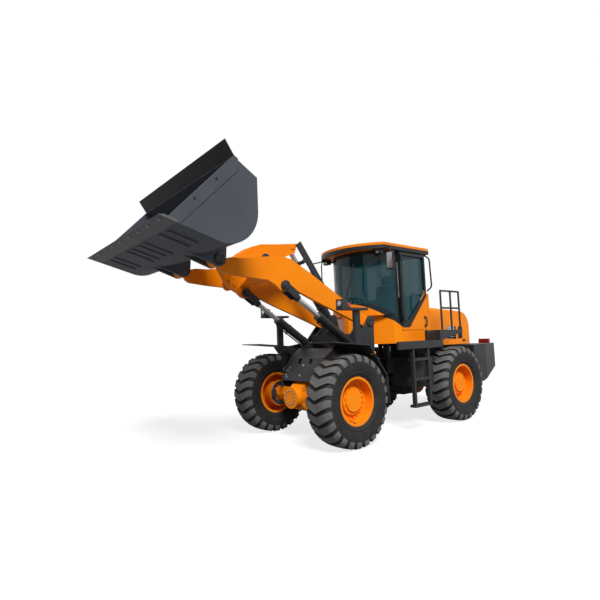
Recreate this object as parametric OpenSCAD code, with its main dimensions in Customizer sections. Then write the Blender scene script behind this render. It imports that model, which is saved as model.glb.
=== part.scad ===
// Articulated wheel loader with a raised bucket on a single-lever lift linkage.
// Millimetres, +X forward, +Y left, +Z up, standing on Z = 0.

/* [Stance] */
// Distance between the two axles
wheelbase = 2800; // [2600:10:3000]
// Distance between the wheel centres of one axle
track = 1850; // [1780:10:1950]
// Height of the frame's hinge above the ground
hinge_z = 830; // [800:5:860]

/* [Wheels] */
// Diameter of a tyre over its lugs
tyre_od = 1330; // [1290:5:1360]
// Width of a tyre
tyre_w = 440; // [400:5:470]
// Diameter of the rim's flange
rim_d = 730; // [700:5:760]
// Height of a tread lug
lug_h = 30; // [20:1:36]
// Lugs around one shoulder of a tyre
lug_count = 24; // [16:1:26]

/* [Boom] */
// Boom pin, ahead of the frame's hinge
boom_pin_x = 460; // [440:5:500]
// Boom pin above the ground
boom_pin_z = 1810; // [1780:5:1850]
// Distance from the boom pin to the bucket pin
boom_len = 2923; // [2850:5:3000]
// Rise of the line between those pins as parked, degrees
boom_deg = 16; // [12:0.5:20]
// Distance from the middle of the machine to the middle of an arm
arm_y = 500; // [490:5:510]
// Thickness of an arm's plate
arm_t = 60; // [50:2:70]

/* [Bucket] */
// Width of the bucket
bucket_w = 2600; // [2450:10:2700]
// Rise of the bucket's floor as parked, degrees
bucket_deg = 16; // [12:0.5:20]
// Bucket pin above the underside of the floor
floor_drop = 72; // [68:1:80]
// Bucket pin to the tip of the cutting edge, along the floor
bucket_reach = 1103; // [1050:5:1150]
// Radius of the rolled back
wrap_r = 420; // [410:5:425]
// Bucket pin to the middle of the rolled back, along the floor
wrap_x = 402; // [395:1:410]
// Thickness of the bucket's sheet
sheet_t = 18; // [14:1:22]

/* [Cab] */
// Width over the cab's lower shell
cab_w = 1500; // [1460:10:1520]
// Front of the lower shell, ahead of the frame's hinge
cab_front = 395; // [385:5:400]
// Back of the cab, behind the frame's hinge
cab_back = 1020; // [1000:5:1050]
// Underside of the cab above the ground
cab_floor_z = 1430; // [1420:5:1450]
// Top of the roof above the ground
roof_z = 3140; // [3080:5:3200]
// Thickness of a door or wall
wall_t = 45; // [36:1:50]

/* [Hood] */
// Width of the hood
hood_w = 1140; // [1080:10:1180]
// Top of the hood at its front, above the ground
hood_z = 2085; // [2040:5:2120]
// Back of the hood, behind the frame's hinge
hood_back = 2680; // [2640:5:2720]

/* [Counterweight] */
// Back of the counterweight, behind the frame's hinge
tail_x = 3200; // [3150:10:3260]
// Width of the counterweight
tail_w = 1900; // [1800:10:1980]
// Top of the counterweight above the ground
tail_z = 1335; // [1300:5:1350]

/* [Hidden] */
$fn = 64;
// Length by which a cut runs past the face it cuts
over = 2;
// Gap at a pin, spindle or seat
fit = 0.3;
// Gap between pieces that move past each other
clear = 10;
// Gap between two panels that meet
panel_gap = 6;

orange = "#f28a12";
grey = "#4a4b50";
black = "#232427";
steel = "#c9ccd0";
rubber = "#2b2a29";
glass = "#3f9aa3";

// Axles, drawn at one height: other tyres lift the whole machine
axle_z = 665;
axle_x = wheelbase / 2;

// Boom points as shares of boom_len, along and across the line from boom pin to bucket pin
arm_top_shares = [[0.196, 0.066], [0.321, 0.094], [0.491, 0.132], [0.6, 0.152], [0.66, 0.147],
    [0.76, 0.106], [0.867, 0.057], [0.93, 0.038]];
arm_under_shares = [[0.965, -0.036], [0.944, -0.042], [0.849, -0.025], [0.714, 0.005], [0.665, -0.003],
    [0.632, -0.018], [0.594, -0.014], [0.575, 0.012], [0.518, 0.01], [0.409, -0.001], [0.238, -0.012]];
lift_eye_share = [0.612, 0.01];
crank_pin_share = [0.666, 0.151];
crank_tilt_share = [0.503, 0.286];
crank_link_share = [0.804, -0.027];
cross_tube_share = [0.645, 0.07];

function turn(p, deg) = [p[0] * cos(deg) - p[1] * sin(deg), p[0] * sin(deg) + p[1] * cos(deg)];
function on_boom(s) = [boom_pin_x, boom_pin_z] + turn(s * boom_len, boom_deg);

boom_pin = [boom_pin_x, boom_pin_z];
bucket_pin = on_boom([1, 0]);
lift_eye = on_boom(lift_eye_share);
crank_pin = on_boom(crank_pin_share);
crank_tilt = on_boom(crank_tilt_share);
crank_link = on_boom(crank_link_share);
cross_tube = on_boom(cross_tube_share);

// Bucket points in its own frame, with the bucket pin at the origin and the floor level
back_lean = 16;
back_len = 398;
top_len = 372;
top_rise = 15;
guard_len = 200;
guard_rise = 40;
guard_sheet = 14;
guard_foot = 70;
wrap_mid = [wrap_x, wrap_r - floor_drop];
back_foot = wrap_mid + wrap_r * [-cos(back_lean), sin(back_lean)];
back_head = back_foot + back_len * [sin(back_lean), cos(back_lean)];
top_tip = back_head + top_len * [cos(top_rise), sin(top_rise)];
edge_w = 205;
edge_t = 26;
edge_bevel = 50;
floor_end = bucket_reach - edge_w;
mouth_foot = bucket_reach - edge_w / 2;
link_lug = [-0.29 * wrap_r, 0.85 * wrap_r];
link_pin = bucket_pin + turn(link_lug, bucket_deg);

// The whole machine stands centred over the origin
front_x = bucket_pin[0] + turn([bucket_reach, -floor_drop], bucket_deg)[0];
shift_x = -(front_x - tail_x) / 2;
module place() translate([shift_x, 0, tyre_od / 2 - axle_z]) children();

// Shared shapes
module both() { children(); mirror([0, 1, 0]) children(); }

module plate(y, t) translate([0, y + t, 0]) rotate([90, 0, 0]) linear_extrude(t) children();

module pin(p, r, y, len) translate([p[0], y + len, p[1]]) rotate([90, 0, 0]) cylinder(r = r, h = len);

module disc2d(p, r) translate(p) circle(r = r);

module bar2d(p, q, rp, rq) {
    d = norm(q - p);
    a = atan2(q[1] - p[1], q[0] - p[0]);
    t = acos((rp - rq) / d);
    disc2d(p, rp);
    disc2d(q, rq);
    polygon([p + rp * [cos(a + t), sin(a + t)], q + rq * [cos(a + t), sin(a + t)],
        q + rq * [cos(a - t), sin(a - t)], p + rp * [cos(a - t), sin(a - t)]]);
}

module block(low, high) translate(low) cube(high - low);

module tube(p, q, r) {
    d = q - p;
    translate(p) rotate([0, acos(d[2] / norm(d)), atan2(d[1], d[0])]) cylinder(r = r, h = norm(d));
}

// Wheels, drawn about the Y axis with +Y outward
bead_r = rim_d / 2 - 40;
section_h = tyre_od / 2 - bead_r;
flange_t = 18;
rim_half = 0.36 * tyre_w;
disc_y = 20;
disc_t = 18;
spindle_r = 120;
hub_r = 195;
hub_t = 62;
cap_r = 150;
cap_t = 28;
rim_wall = 14;

tread_half = 0.43 * tyre_w;
// Corners of one lug, as shares of the pitch and of the lug's height
lug_corner_shares = [[0.1, 0], [0.16, 1], [0.5, 1], [0.84, 1], [0.9, 0]];
// Outer half of each lug trails by this share of the pitch
lug_sweep_share = 0.36;

module tread2d(turn_share) difference() {
    rotate((turn_share - 0.5) * 360 / lug_count - 90)
        polygon([for (i = [0 : lug_count - 1], c = lug_corner_shares)
            let (a = (i + c[0]) * 360 / lug_count, r = tyre_od / 2 - (1 - c[1]) * lug_h) r * [cos(a), sin(a)]]);
    circle(r = bead_r + section_h / 2);
}

module tyre() {
    half = tyre_w / 2;
    side_shares = [[0, 0.72], [0.2, 0.72], [0.28, 0.9], [0.5, 1], [0.72, 0.99], [0.84, 0.93],
        [0.89, 0.84], [0.9, 0.7]];
    right = [for (s = side_shares) [bead_r + s[0] * section_h, s[1] * half]];
    left = [for (i = [len(right) - 1 : -1 : 0]) [right[i][0], -right[i][1]]];
    color(rubber) rotate([-90, 0, 0]) {
        rotate_extrude() polygon(concat(right, left));
        translate([0, 0, -tread_half / 2]) linear_extrude(tread_half) tread2d(0);
        for (z = [tread_half / 2 - over, -tread_half]) translate([0, 0, z])
            linear_extrude(tread_half / 2 + over) tread2d(lug_sweep_share);
    }
}

module rim() {
    ring_r = bead_r - fit;
    color(orange) rotate([-90, 0, 0]) difference() {
        union() {
            difference() {
                union() {
                    translate([0, 0, -rim_half - flange_t]) cylinder(r = ring_r,
                        h = 2 * (rim_half + flange_t));
                    for (z = [-rim_half - flange_t, rim_half + fit]) translate([0, 0, z])
                        cylinder(r = rim_d / 2, h = flange_t - fit);
                }
                translate([0, 0, -rim_half - flange_t - over])
                    cylinder(r = ring_r - rim_wall, h = 2 * (rim_half + flange_t + over));
            }
            translate([0, 0, disc_y]) cylinder(r = ring_r - rim_wall / 2, h = disc_t);
            translate([0, 0, disc_y]) cylinder(r = hub_r, h = hub_t);
            translate([0, 0, disc_y]) cylinder(r = cap_r, h = hub_t + cap_t);
        }
        translate([0, 0, disc_y - over]) cylinder(r = spindle_r + fit, h = disc_t + over);
    }
}

module wheel_at(front, left) translate([front * axle_x, left * track / 2, axle_z])
    mirror([0, left > 0 ? 0 : 1, 0]) children();

// Axle: banjo housing, arms, brake discs and spindles
arm_r = 105;
banjo_r = 235;
banjo_w = 150;
brake_r = 215;
brake_t = 26;
brake_y = 0.71;
carrier_r = 185;
carrier_len = 150;
pad_w = 120;
pad_l = 260;

module axle(pad_y, pad_z) {
    spindle_tip = track / 2 + disc_y + disc_t - 2 * fit;
    brake_at = brake_y * track / 2;
    color(orange) {
        pin([0, 0], arm_r, -spindle_tip + disc_t, 2 * (spindle_tip - disc_t));
        pin([0, 0], banjo_r, -banjo_w, 2 * banjo_w);
        both() {
            pin([0, 0], brake_r, brake_at, brake_t);
            pin([0, 0], spindle_r, brake_at, spindle_tip - brake_at);
            pin([0, 0], carrier_r, brake_at + brake_t - over, carrier_len);
            block([-pad_l / 2, pad_y - pad_w / 2, 0], [pad_l / 2, pad_y + pad_w / 2, pad_z]);
        }
        rotate([0, 90, 0]) cylinder(r = 0.72 * banjo_r, h = 1.35 * banjo_r);
        rotate([0, -90, 0]) cylinder(r = 0.5 * banjo_r, h = 1.3 * banjo_r);
    }
}

module front_axle() translate([axle_x, 0, axle_z]) axle(frame_y, front_under_z - axle_z);
module rear_axle() translate([-axle_x, 0, axle_z]) mirror([1, 0, 0]) axle(rail_y + rail_t / 2,
    rail_low - axle_z);

// Drive shafts on the hinge's axis, which meet at its joint
shaft_r = 42;
yoke_r = 52;
yoke_l = 90;

module rear_shaft() color(grey) {
    shaft_from = -gearbox_front;
    tube([shaft_from, 0, axle_z], [-yoke_r / 2, 0, axle_z], shaft_r);
    translate([0, 0, axle_z]) sphere(r = yoke_r);
    tube([shaft_from, 0, axle_z], [shaft_from + yoke_l, 0, axle_z], yoke_r);
}

module front_shaft() color(grey) {
    shaft_to = axle_x - 1.3 * banjo_r;
    tube([yoke_r + clear / 2, 0, axle_z], [shaft_to, 0, axle_z], shaft_r);
    tube([shaft_to - yoke_l, 0, axle_z], [shaft_to, 0, axle_z], yoke_r);
}

// Front frame
frame_y = 395;
frame_t = 25;
tower_y = 580;
front_under_z = 0.442 * boom_pin_z;
bulk_x = 405;
bulk_t = 25;
lug_r = 130;
lug_t = 34;
tongue_t = 46;
hinge_pin_r = 45;
hinge_drop = 300;
frame_low_share = 0.25;
rail_share = 0.431;
rail_top_share = 0.58;
tower_r = 88;
boom_boss_r = 84;
boom_pin_r = 42;
lift_foot = [720, 1370];
lift_foot_r = 80;
stub = 14;
lift_pin_r = 36;
tilt_foot = [800, 1870];
tilt_foot_r = 80;
tilt_pin_r = 34;
tilt_lug_y = 82;
tilt_lug_t = 30;
steer_eye = [300, 250];
steer_foot = [-520, 300];
steer_z = hinge_z;
steer_lug_t = 24;
steer_eye_r = 44;
steer_eye_t = 44;
eye_bore_r = 30;
eye_lug_t = 30;

// Outlines of the front frame as shares of the boom pin's height and the axle's distance
frame_shares = [[0.29, 0.25], [0.29, 0.66], [0.272, 0.72], [0.27, 0.98], [0.39, 1.0], [0.62, 0.83],
    [0.82, 0.775],
    [0.965, 0.7], [1.115, 0.5], [1.115, 0.442], [0.84, 0.442], [0.76, 0.25]];
tower_shares = [[0.28, 0.64], [0.27, 0.98], [0.39, 1.0], [0.6, 0.83], [0.96, 0.795], [0.96, 0.76],
    [0.62, 0.64]];
function on_front(s) = [s[0] * axle_x, s[1] * boom_pin_z];

module front_side2d(shares) {
    polygon([for (s = shares) on_front(s)]);
    disc2d(boom_pin, tower_r);
    disc2d(lift_foot, lift_foot_r);
}

module hinge_lug(z, t, r, from) {
    translate([0, 0, z]) cylinder(r = r, h = t);
    block([min(0, from), -r, z], [max(0, from), r, z + t]);
}

module front_frame() color(grey) difference() {
    union() {
        both() {
            plate(frame_y, frame_t) front_side2d(frame_shares);
            plate(tower_y, frame_t) front_side2d(tower_shares);
            block([bulk_x - bulk_t, frame_y, shelf_z],
                [lift_foot[0] - lift_foot_r, tower_y + frame_t, shelf_z + bulk_t]);
            pin(boom_pin, boom_pin_r, frame_y, tower_y - frame_y + frame_t);
            pin(lift_foot, lift_pin_r, frame_y - stub, stub + over);
            pin(lift_foot, lift_pin_r, tower_y + frame_t - over, stub + over);
            plate(tilt_lug_y, tilt_lug_t) tilt_lug2d();
            plate(frame_y - eye_lug_t, eye_lug_t) disc2d(lift_ring, 2 * eye_bore_r);
        }
        pin(tilt_foot, tilt_pin_r, -tilt_lug_y, 2 * tilt_lug_y);
        block([bulk_x, -frame_y, front_low], [bulk_x + bulk_t, frame_y, beam_low]);
        block([tilt_foot[0] - beam_l, -frame_y, beam_low],
            [tilt_foot[0] + beam_l / 2, frame_y, beam_top]);
        plate(-frame_y, 2 * frame_y) nose2d();
        for (z = [hinge_z + hinge_drop, hinge_z - hinge_drop]) {
            for (side = [0, 1])
                hinge_lug(z - tongue_t / 2 - clear - lug_t + side * (tongue_t + 2 * clear + lug_t), lug_t, lug_r, bulk_x + over);
            translate([0, 0, z - tongue_t / 2 - clear - lug_t])
                cylinder(r = hinge_pin_r, h = tongue_t + 2 * (clear + lug_t));
        }
        both() for (side = [-1, 1]) steer_lug(steer_eye, side, bulk_x + over);
    }
    both() pin(lift_ring, eye_bore_r, frame_y - eye_lug_t - over, frame_t + eye_lug_t + 2 * over);
    both() pin(lift_window, window_r, frame_y - over, frame_t + 2 * over);
    both() block([0.95 * axle_x, nose_hole_y, 0.645 * boom_pin_z],
        [1.03 * axle_x, nose_hole_y + nose_hole, 0.645 * boom_pin_z + nose_hole]);
    tube([bulk_x - over, 0, axle_z], [bulk_x + bulk_t + over, 0, axle_z], shaft_hole_r);
}

shelf_z = 1160;
beam_l = 130;
beam_low = 1480;
beam_top = 1620;
front_low = frame_low_share * boom_pin_z;
shaft_hole_r = 75;
nose_t = 22;
nose_hole = 78;
nose_hole_y = 90;
lift_ring = [1.04 * axle_x, 0.585 * boom_pin_z];
lift_window = [0.75 * axle_x, 0.6 * boom_pin_z];
window_r = 90;

module nose2d() {
    a = on_front([0.965, 0.7]);
    b = on_front([1.115, 0.5]);
    c = on_front([0.82, 0.775]);
    polygon([a, b, b - [nose_t, 0], a - [nose_t, nose_t], c - [0, nose_t], c]);
}

module tilt_lug2d() {
    disc2d(tilt_foot, tilt_foot_r);
    polygon([[tilt_foot[0] - beam_l, beam_top - over], [tilt_foot[0] + beam_l / 2, beam_top - over],
        tilt_foot + [tilt_foot_r, 0], tilt_foot - [tilt_foot_r, 0]]);
}

module steer_lug(p, side, from) {
    z = steer_z + (side > 0 ? steer_eye_t / 2 + clear : -steer_eye_t / 2 - clear - steer_lug_t);
    translate([p[0], p[1], z]) cylinder(r = steer_eye_r, h = steer_lug_t);
    block([min(p[0], from), p[1] - steer_eye_r, z],
        [max(p[0], from), p[1] + steer_eye_r, z + steer_lug_t]);
}

// Rear frame
rail_y = 330;
rail_t = 30;
rail_low = rail_share * boom_pin_z;
rail_top = rail_top_share * boom_pin_z;
rear_bulk = 640;
rear_end = 2650;
tongue_r = 110;
deck_z = 1120;
deck_front = 220;
deck_t = 30;
post_w = 90;
mount_front = 320;
mount_back = 920;
rail_shares = [[0.2415, 0.27], [0.2415, 0.63], [0.55, 0.63], [0.62, 0.58], [1, 0.58], [1, 0.431],
    [0.62, 0.431],
    [0.44, 0.431], [0.4, 0.27]];
firewall_x = 1142;

module rear_frame() color(grey) difference() {
    union() {
        both() {
            plate(rail_y, rail_t) {
                polygon([for (s = rail_shares) [-s[0] * rear_end, s[1] * boom_pin_z]]);
                translate([hood_hinge[0] - 2 * hinge_r, rail_top - over]) square([4 * hinge_r,
                    hood_hinge[1] - rail_top]);
                disc2d(hood_hinge, 2 * hinge_r);
            }
            for (side = [-1, 1]) steer_lug(steer_foot, side, -rear_bulk - over);
            translate([steer_foot[0], steer_foot[1], steer_z - steer_eye_t / 2 - clear - over])
                cylinder(r = steer_pin_r, h = steer_eye_t + 2 * (clear + over));
            block([-mount_front - post_w / 2, rail_y - post_w, deck_z],
                [-mount_front + post_w / 2, rail_y, cab_floor_z]);
            block([-mount_back - post_w / 2, rail_y, deck_z - over],
                [-mount_back + post_w / 2, rail_y + rail_t, cab_floor_z]);
        }
        block([-rear_bulk - rail_t, -rail_y - over, 0.27 * boom_pin_z],
            [-rear_bulk, rail_y + over, deck_z]);
        block([-rear_bulk - rail_t, -rail_y - over, deck_z],
            [-deck_front, rail_y + over, deck_z + deck_t]);
        block([-rear_end, -rail_y - over, rail_low], [-rear_end + rail_t, rail_y + over, rail_top]);
        pin(hood_hinge, hinge_r, -rail_y - over, 2 * (rail_y + over));
        for (z = [hinge_z + hinge_drop, hinge_z - hinge_drop])
            hinge_lug(z - tongue_t / 2, tongue_t, tongue_r, -rear_bulk - over);
    }
    for (z = [hinge_z + hinge_drop, hinge_z - hinge_drop]) translate([0, 0, z - tongue_t / 2 - over])
        cylinder(r = hinge_pin_r + fit, h = tongue_t + 2 * over);
    tube([-rear_bulk - rail_t - over, 0, axle_z], [-rear_bulk + over, 0, axle_z], shaft_hole_r);
}

// Engine and gearbox as one block
gearbox_front = 760;
gearbox_back = axle_x - 1.3 * banjo_r;
engine_front = 1210;
engine_back = 2100;
engine_low = 920;
engine_top = 1760;

module engine() color(grey) {
    block([-gearbox_back, -rail_y, axle_z - banjo_r / 2], [-gearbox_front, rail_y, deck_z - clear]);
    block([-engine_back, -rail_y, engine_low], [-engine_front, rail_y, engine_top]);
    block([-engine_front - over, -rail_y / 2, engine_low],
        [-gearbox_back + over, rail_y / 2, deck_z - clear]);
}

// Counterweight with the tow hitch
tail_gap = 55;
tail_from = axle_x + tyre_od / 2 + tail_gap;
tail_low = 610;
tail_plan_shares = [[0, 0.42], [0, 1], [0.42, 1], [1, 0.86], [1, -0.86], [0.42, -1], [0, -1], [0, -0.42]];
hitch_gap = 90;
hitch_deep = 190;
hitch_w = 240;
hitch_r = 22;
hitch_z = 1010;
hitch_back = 90;
hitch_sole = 110;

module counterweight() color(grey) difference() {
    intersection() {
        translate([0, 0, tail_low]) linear_extrude(tail_z - tail_low) polygon([for (s = tail_plan_shares)
            [-tail_from - s[0] * (tail_x - tail_from), s[1] * tail_w / 2]]);
        plate(-tail_w / 2, tail_w) polygon([[-tail_from, tail_z], [-tail_x, tail_z],
            [-tail_x, tail_low + 0.34 * (tail_z - tail_low)],
            [-tail_from - 0.3 * (tail_x - tail_from), tail_low], [-tail_from, tail_low]]);
    }
    block([-rear_end - over, -rail_y - rail_t - fit, tail_low - over],
        [-tail_from + over, rail_y + rail_t + fit, rail_top]);
    block([-tail_x - over, -hitch_w / 2, hitch_z],
        [-tail_x + hitch_deep, hitch_w / 2, hitch_z + hitch_gap]);
    translate([-tail_x + hitch_back, 0, hitch_z - hitch_sole]) cylinder(r = hitch_r,
        h = tail_z - hitch_z + hitch_sole + over);
}

// Fuel tank on the right and battery box on the left, under the platforms
tank_from = 220;
tank_gap = 35;
tank_len = axle_x - tyre_od / 2 - tank_gap - tank_from;
tank_out = 960;
tank_low = 700;
tank_top = 1180;
tank_neck = 110;

module fuel_tank() color(black) both() {
    inner = rail_y + rail_t;
    block([-tank_from - tank_len, inner + tank_neck, tank_low], [-tank_from, tank_out, tank_top]);
    block([-tank_from - tank_len, inner, steer_z + steer_bore_r + 3 * clear],
        [-tank_from, inner + tank_neck + over, tank_top]);
}

// Platforms beside the cab, with their ladders
step_out = 1100;
step_front = 400;
step_back = 830;
step_z = 1460;
step_drop = 120;
step_t = 12;
ladder_t = 60;
ladder_y = step_out - step_t - ladder_t;
ladder_front = 30;
ladder_w = 460;
ladder_low = 400;
stringer_w = 46;
rung_z_shares = [0.0, 0.4, 0.7];
rung_h = 40;
rung_d = 110;

step_cut_deg = 35;
step_relief = 36;

module step_plan(inset) {
    tip = cab_w / 2 + (step_front + step_relief) * tan(step_cut_deg);
    polygon([[-step_back + inset, cab_w / 2 - (inset > 0 ? over : 0)],
        [-step_relief - inset, cab_w / 2 - (inset > 0 ? over : 0)],
        [step_front - inset, tip], [step_front - inset, step_out - inset],
            [-step_back + inset, step_out - inset]]);
}

module platforms() color(grey) both() difference() {
    translate([0, 0, step_z - step_drop]) linear_extrude(step_drop) step_plan(0);
    translate([0, 0, step_z - step_drop - over]) linear_extrude(step_drop - step_t + over) step_plan(step_t);
}

module ladders() color(grey) both() {
    for (x = [ladder_front - stringer_w, ladder_front - ladder_w])
        block([x, ladder_y, ladder_low], [x + stringer_w, ladder_y + ladder_t, step_z - step_t]);
    for (s = rung_z_shares) translate([0, 0, ladder_low + s * (step_z - ladder_low)])
        block([ladder_front - ladder_w, ladder_y + ladder_t - rung_d, 0],
            [ladder_front, ladder_y + ladder_t, rung_h]);
}

// Rear fenders: a raised deck over each rear wheel
fender_back = 1560;
fender_z = 1635;
fender_in = 580;
fender_out = 1060;
fender_t = 14;

module rear_fenders() color(black) both() {
    block([-fender_back, fender_in, fender_z - fender_t], [-cab_back - clear, fender_out, fender_z]);
    block([-cab_back - clear - over, cab_w / 2, fender_z - fender_t], [-step_back, fender_out, fender_z]);
    block([-step_back - fender_t, cab_w / 2, step_z - step_t], [-step_back, fender_out, fender_z]);
    plate(fender_out - fender_t, fender_t) polygon([[-step_back, step_z - step_t],
        [-step_back, fender_z], [-fender_back, fender_z],
        [-fender_back, fender_z - 0.3 * (fender_z - step_z)]]);
}

// Handrails
rail_r = 17;
rail_h = 690;
hand_y = 1040;
// Front post, behind the sweep of the open door
hand_front = 935;

module handrails() color(black) both() {
    for (x = [hand_front, 0.5 * (hand_front + fender_back), fender_back - 2 * rail_r])
        tube([-x, hand_y, fender_z], [-x, hand_y, fender_z + rail_h], rail_r);
    for (z = [0.56, 1]) tube([-hand_front, hand_y, fender_z + z * rail_h],
        [-fender_back + 2 * rail_r, hand_y, fender_z + z * rail_h], rail_r);
}

// Cab: a shell with a round front, posts, roof and panes
cab_r = cab_w / 2;
cab_mid = cab_front - cab_r;
glass_t = 8;
post_t = 60;
roof_t = 95;
roof_out = 755;
roof_front = 180;
roof_back = 1085;
sill_z = 1780;
brow_front = 2130;
brow_back = 2300;
door_front = -215;
door_back = 950;
door_low = 1650;
door_top = 3010;
head_z = roof_z - roof_t;

module cab_plan(inset) {
    r = cab_r - inset;
    intersection() {
        translate([cab_mid, 0]) circle(r = r, $fn = 2.5 * $fn);
        translate([cab_mid - over, -r]) square([r + 2 * over, 2 * r]);
    }
    translate([-cab_back + inset, -r]) square([cab_back - inset + cab_mid, 2 * r]);
}

// Below the towers' tops the shell leaves room for them to swing by
swing_z = boom_pin_z + tower_r + 2 * clear;
swing_reach = boom_pin[0] - tower_r - 2 * clear;
swing_edge = 76;

module cab_low(inset) intersection() {
    cab_plan(inset);
    tip = (swing_reach - inset) / cos(step_cut_deg);
    polygon([[tip, 0], [tip - cab_w * tan(step_cut_deg), cab_w], [-cab_back - over, cab_w],
        [-cab_back - over, -cab_w],
        [tip - cab_w * tan(step_cut_deg), -cab_w]]);
}

module cab_ring(inset, t) difference() { cab_plan(inset); cab_plan(inset + t); }

// The shell's upper edge dips beside the doors
module brow2d(drop) polygon([[cab_front + over, cab_floor_z - over],
    [cab_front + over, brow_front - drop],
    [0.63 * cab_front, brow_front - drop], [-swing_edge, swing_z + 0.4 * wall_t - drop],
        [door_front + post_t, sill_z - drop],
    [-0.35 * door_back, sill_z - drop], [-door_back, brow_back - drop],
        [-cab_back - over, brow_back - drop], [-cab_back - over, cab_floor_z - over]]);

module cab_base() color(orange) {
    difference() {
        intersection() {
            union() {
                translate([0, 0, cab_floor_z]) linear_extrude(swing_z - cab_floor_z + over) difference() {
                    cab_low(0);
                    cab_low(wall_t);
                }
                translate([0, 0, swing_z]) linear_extrude(wall_t) difference() {
                    cab_plan(0);
                    cab_low(wall_t);
                }
                translate([0, 0, swing_z]) linear_extrude(roof_z - swing_z) cab_ring(0, wall_t);
            }
            plate(-cab_w / 2 - over, cab_w + 2 * over) brow2d(0);
        }
        block([-door_back - panel_gap, cab_r - 2 * wall_t, door_low - panel_gap],
            [door_front + panel_gap, cab_r + over, roof_z]);
    }
    translate([0, 0, cab_floor_z]) linear_extrude(wall_t) cab_low(wall_t - over);
}

module cab_frame() color(black) {
    inset = wall_t + panel_gap;
    post_y = cab_r - inset - post_t;
    both() block([-cab_back + inset, post_y, cab_floor_z + wall_t],
        [-cab_back + inset + post_t, post_y + post_t, head_z]);
    translate([0, 0, cab_floor_z + wall_t]) linear_extrude(head_z - cab_floor_z - wall_t) intersection() {
        cab_ring(inset, post_t);
        translate([door_front, -cab_r]) square([post_t, cab_w]);
    }
    translate([0, 0, head_z - post_t]) linear_extrude(post_t) cab_ring(inset, post_t);
}

module cab_roof() {
    color(orange) translate([0, 0, head_z]) linear_extrude(roof_t) difference() {
        union() {
            translate([-roof_back, -roof_out]) square([roof_back + roof_front, 2 * roof_out]);
            intersection() {
                translate([roof_front - 0.75 * roof_out, 0]) circle(r = 1.25 * roof_out);
                translate([roof_front - over, -roof_out]) square([roof_out, 2 * roof_out]);
            }
        }
    }
}

module cab_glass() color(glass, 0.5) {
    low = cab_floor_z + wall_t;
    pane_back = cab_back - wall_t - panel_gap - post_t - fit;
    pane_out = cab_r - wall_t - panel_gap - post_t - fit;
    front_low = swing_z + wall_t;
    translate([0, 0, front_low]) linear_extrude(head_z - post_t - front_low) intersection() {
        cab_ring(wall_t + fit, glass_t);
        translate([door_front + post_t + fit, -cab_r]) square([cab_front - door_front, cab_w]);
    }
    both() translate([0, 0, low]) linear_extrude(front_low - low - fit) intersection() {
        cab_ring(wall_t + fit, glass_t);
        translate([door_front + post_t + fit, 0]) square([-door_front - post_t - swing_edge - clear, cab_w]);
    }
    translate([0, 0, low]) linear_extrude(head_z - post_t - low) intersection() {
        cab_ring(wall_t + fit, glass_t);
        translate([-pane_back, -cab_r]) square([pane_back + door_front - fit, cab_r]);
    }
    translate([0, 0, low]) linear_extrude(head_z - post_t - low) intersection() {
        cab_ring(wall_t + fit, glass_t);
        translate([-cab_back, -pane_out]) square([wall_t + 2 * glass_t, 2 * pane_out]);
    }
}

// Left door on two hinges at its front edge
hinge_out = 18;
hinge_r = 12;
hinge_h = 90;
door_hinge = [door_front - panel_gap, cab_r + hinge_out];
door_hinge_shares = [0.12, 0.9];
window_edge = 55;

module door2d() polygon([[door_front, door_low], [door_front, door_top], [-door_back, door_top],
    [-door_back, door_low]]);

module door_window2d() {
    front = door_front - window_edge;
    polygon([[front, sill_z + window_edge], [front, door_top - window_edge],
        [-door_back + window_edge, door_top - window_edge],
        [-door_back + window_edge, brow_back], [-0.42 * door_back, sill_z + window_edge]]);
}

module door() color(orange) {
    difference() {
        plate(cab_r - wall_t, wall_t) door2d();
        plate(cab_r - wall_t - over, wall_t + 2 * over) door_window2d();
    }
    for (s = door_hinge_shares) {
        z = door_low + s * (door_top - door_low);
        translate([door_hinge[0], door_hinge[1], z]) cylinder(r = hinge_r, h = hinge_h);
        block([door_hinge[0] - 4 * hinge_r, cab_r - over, z],
            [door_hinge[0], door_hinge[1], z + hinge_h]);
    }
}

module door_glass() color(glass, 0.5) plate(cab_r - wall_t / 2 - glass_t / 2, glass_t) door_window2d();

// Seat and steering console
seat_x = -520;
seat_w = 500;
seat_z = 1900;
seat_t = 120;
back_recline = 8;
back_h = 640;

module seat() color(black) {
    block([seat_x - 0.5 * seat_w, -0.3 * seat_w, cab_floor_z + wall_t],
        [seat_x + 0.4 * seat_w, 0.3 * seat_w, seat_z - seat_t]);
    block([seat_x - 0.5 * seat_w, -0.5 * seat_w, seat_z - seat_t],
        [seat_x + 0.5 * seat_w, 0.5 * seat_w, seat_z]);
    translate([seat_x - 0.45 * seat_w, -0.5 * seat_w, seat_z - 0.5 * seat_t]) rotate([0, -back_recline,
        0])
        cube([seat_t, seat_w, back_h + 0.5 * seat_t]);
}

wheel_r = 200;
wheel_tube = 16;
ring_sides = 8;
console_x = 40;
console_z = 2180;
console_w = 180;
console_lean = 28;

module console() color(black) {
    block([console_x, -console_w / 2, cab_floor_z + wall_t],
        [console_x + console_w, console_w / 2, console_z - console_w]);
    translate([console_x + console_w / 2, 0, console_z - console_w - over]) rotate([0, -console_lean,
        0]) {
        cylinder(r = console_w / 5, h = console_w);
        translate([0, 0, console_w]) {
            rotate_extrude() translate([wheel_r, 0]) circle(r = wheel_tube, $fn = ring_sides);
            for (a = [30, 150, 270]) rotate([0, 0, a]) rotate([0, 90, 0]) cylinder(r = wheel_tube / 2,
                h = wheel_r);
            sphere(r = console_w / 4);
        }
    }
}

// Mirrors on arms from the roof
mirror_x = 250;
mirror_y = 930;
mirror_low = 2640;
mirror_h = 300;
mirror_w = 130;
mirror_t = 40;
mirror_r = 12;
mirror_foot_y = 640;
mirror_arm_z = head_z - 2 * mirror_r;

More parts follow.
